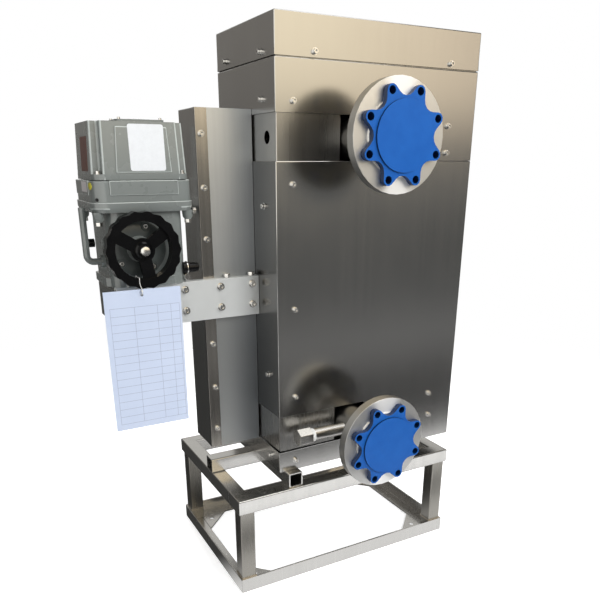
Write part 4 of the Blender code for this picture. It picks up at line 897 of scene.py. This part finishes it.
inner_steel = steel_finish("oiled_steel", (0.26, 0.26, 0.27), (0.42, 0.42, 0.43), 0.32, "Z", 0.08)
valve_steel = steel_finish("valve_steel", (0.50, 0.49, 0.48), (0.68, 0.67, 0.65), 0.28, "Y", 0.06)
bronze_finish = steel_finish("gear_bronze", (0.42, 0.25, 0.10), (0.60, 0.39, 0.17), 0.30, "Z", 0.08)
red_finish = moulded_finish("pointer_red", (0.42, 0.03, 0.02), (0.58, 0.05, 0.03), 0.4, 300, 900, 0.00004)
inner_finishes = {"gear_steel": inner_steel, "machined_steel": valve_steel, "bronze": bronze_finish,
                  "indicator_red": red_finish}
dressed = ("upper_flange", "lower_flange", "lower_neck", "drain_pipe", "drain_cap")
for node, slot in slot_of.items():
    if slot in inner_finishes and node not in dressed:
        frame["nodes"][node].data.materials[0] = inner_finishes[slot]


# Studio floor: a plain pale floor, matt, which keeps the object's shadow.
# It fades into the white room some way behind the object.

def stage_piece(name, bm, finish):
    """Put a floor or a card into the studio."""
    mesh = bpy.data.meshes.new(name)
    bm.to_mesh(mesh)
    bm.free()
    mesh.materials.append(finish)
    held = bpy.data.objects.new(name, mesh)
    bpy.context.collection.objects.link(held)
    return held


floor_finish, floor_shader, floor_place = new_finish("pale_floor")
set_socket(floor_finish, "Base Color", (0.86, 0.86, 0.86, 1))
set_socket(floor_finish, "Roughness", 0.9)
set_socket(floor_finish, "Specular IOR Level", 0.0)
set_socket(floor_finish, "Emission Strength", 1.0)
fade_start = 0.9
fade_end = 2.4
level_place = floor_place.node("Mapping", {}, {"Vector": floor_place, "Scale": (1, 1, 0)})
away = floor_place.node("VectorMath", {"operation": "LENGTH"}, {0: level_place}, "Value")
seen = floor_place.node("LightPath", {}, {}, "Is Camera Ray")
floor_place.feed(floor_shader, {"Alpha": 1.0 - away.ease(fade_start, fade_end),
                                "Emission Color": seen.mix((0, 0, 0, 1), (0.60, 0.60, 0.60, 1))})
floor = bmesh.new()
bmesh.ops.create_grid(floor, x_segments=1, y_segments=1, size=3.0)
stage_piece("floor", floor, floor_finish)


# Reflection cards: walls, a skylight and a floor of grey and cream card, which only reflections show.
# They stand round the object so that the bare steel has something to mirror.

def glow_card(name, bm, tone, card, strength):
    """A card that only reflections show, with a tone that changes over it."""
    finish, shader, place = card
    set_socket(finish, "Base Color", (0, 0, 0, 1))
    set_socket(finish, "Specular IOR Level", 0.0)
    set_socket(finish, "Emission Strength", strength)
    place.feed(shader, {"Emission Color": tone})
    held = stage_piece(name, bm, finish)
    held.visible_camera = False
    held.visible_diffuse = False
    held.visible_shadow = False
    held.visible_transmission = False


room_x = 5.4
room_y = 4.6
room_h = 3.4
wall_sunk = 0.05
by_wall = 0.1
card_power = 1.7
window_tone = (0.95, 0.93, 0.88, 1)
wall_card = new_finish("wall_card")
beside, ahead, height = (wall_card[2].along(axis) for axis in "XYZ")
at_front = ahead < by_wall - room_y / 2
at_rear = ahead > room_y / 2 - by_wall
at_left = beside < by_wall - room_x / 2
low_wall = height.ease(0.4, 0.9).mix((0.076, 0.078, 0.078, 1), (0.12, 0.12, 0.117, 1))
cream_wall = beside.ease(1.0, 2.6).mix((1.0, 0.87, 0.65, 1), (0.78, 0.65, 0.49, 1))
front_wall = height.ease(0.98, 1.28).mix(low_wall, cream_wall)
front_tone = beside.ease(-0.35, -0.75).mix(front_wall, window_tone)
dim_wall = height.ease(0.0, 1.7).mix((0.03, 0.031, 0.03, 1), (0.155, 0.146, 0.135, 1))
rear_panel = at_rear * beside.ease(-0.7, -0.4)
rear_tone = rear_panel.mix(dim_wall, (0.40, 0.395, 0.38, 1))
window = at_left * ahead.ease(0.40, 0.0)
side_tone = window.mix(rear_tone, window_tone)
walls = bmesh.new()
bmesh.ops.create_cube(walls, size=1.0)
bmesh.ops.scale(walls, verts=walls.verts, vec=(room_x, room_y, room_h))
bmesh.ops.translate(walls, verts=walls.verts, vec=(0, 0, room_h / 2 - wall_sunk))
ends = [f for f in walls.faces if abs(f.normal.z) > 0.5]
bmesh.ops.delete(walls, geom=ends, context="FACES")
glow_card("wall_cards", walls, at_front.mix(side_tone, front_tone), wall_card, card_power)

skylight_power = 2.6
skylight_z = room_h - 0.06
skylight_card = new_finish("skylight_card")
over_x, over_y = (skylight_card[2].along(axis) for axis in "XY")
pane = over_x.ease(-0.3, 0.1) * over_x.ease(2.1, 1.7) * over_y.ease(-2.1, -1.7) * over_y.ease(0.2, -0.2)
pane_tone = pane.mix((0.05, 0.05, 0.05, 1), (1.0, 0.99, 0.96, 1))
skylight = bmesh.new()
bmesh.ops.create_grid(skylight, x_segments=1, y_segments=1, size=room_x / 2)
bmesh.ops.translate(skylight, verts=skylight.verts, vec=(0, 0, skylight_z))
glow_card("skylight_card", skylight, pane_tone, skylight_card, skylight_power)

floor_half = 2.6
floor_span = 2.5
floor_lift = 0.0005
floor_stops = [(0.00, 0.08), (0.10, 0.10), (0.22, 0.17), (0.32, 0.19), (0.42, 0.13), (0.52, 0.045),
               (0.60, 0.030), (0.68, 0.030), (0.72, 0.08), (0.755, 0.12), (0.775, 1.00), (0.825, 1.00),
               (0.845, 0.16), (0.88, 0.14), (0.90, 0.60), (1.00, 0.60)]
floor_card = new_finish("floor_card")
out_front = floor_card[2].along("Y")
forward = out_front.node("MapRange", {}, {0: out_front, 1: -floor_span, 2: 0.0})
front_floor = forward.node("ValToRGB", {"stops": floor_stops}, {0: forward})
behind = out_front.ease(-0.15, 0.05)
floor = bmesh.new()
bmesh.ops.create_grid(floor, x_segments=1, y_segments=1, size=floor_half)
bmesh.ops.translate(floor, verts=floor.verts, vec=(0, 0, floor_lift))
glow_card("floor_card", floor, behind.mix(front_floor, (0.032, 0.032, 0.031, 1)), floor_card, card_power)


# Light: a white room with three soft boxes, which reflections don't show.
# The room lights the object dimly, and is full white only where it is seen or mirrored.

world = bpy.data.worlds.new("studio")
bpy.context.scene.world = world
world.use_nodes = True
room = Shade(world.node_tree)
shown = sum((room.node("LightPath", {}, {}, f"Is {kind} Ray") for kind in ("Glossy", "Transmission")),
            room.node("LightPath", {}, {}, "Is Camera Ray"))
room.feed(world.node_tree.nodes["Background"], {"Color": (1, 1, 1, 1), "Strength": 0.38 + 0.62 * shown})


def soft_lamp(name, place, aim, size, power):
    """A square soft box pointed at a spot, which reflections don't show."""
    lamp = bpy.data.lights.new(name, "AREA")
    lamp.size = size
    lamp.energy = power
    holder = bpy.data.objects.new(name, lamp)
    holder.location = place
    holder.rotation_euler = (Vector(aim) - Vector(place)).to_track_quat("-Z", "Y").to_euler()
    holder.visible_glossy = False
    bpy.context.collection.objects.link(holder)


soft_lamp("key", (0.9, -3.0, 2.4), (0, 0, 0.6), 1.8, 95)
soft_lamp("fill", (2.6, -1.4, 2.2), (0, 0, 0.6), 1.6, 30)
soft_lamp("top", (0.2, 0.4, 3.2), (0, 0, 0.5), 2.0, 45)


# Camera: stands where the photograph was taken from, with its focal length in pixels.
# The picture is the upper part of a taller frame, so the lens is shifted.

image_width = 600
focal_pixels = 636.4
photo_centre = 400
tilt_down = 0.3588
turn_right = 0.4953
camera = bpy.data.cameras.new("photo_camera")
camera.sensor_width = 36.0
camera.lens = focal_pixels / image_width * camera.sensor_width
camera.shift_y = (photo_centre - image_width / 2) / image_width
viewer = bpy.data.objects.new("photo_camera", camera)
viewer.location = spot(-0.567, -1.1464, 0.6539)
viewer.rotation_euler = (pi / 2 - tilt_down, 0, -turn_right)
bpy.context.collection.objects.link(viewer)
bpy.context.scene.camera = viewer
bpy.context.scene.view_settings.view_transform = "Standard"
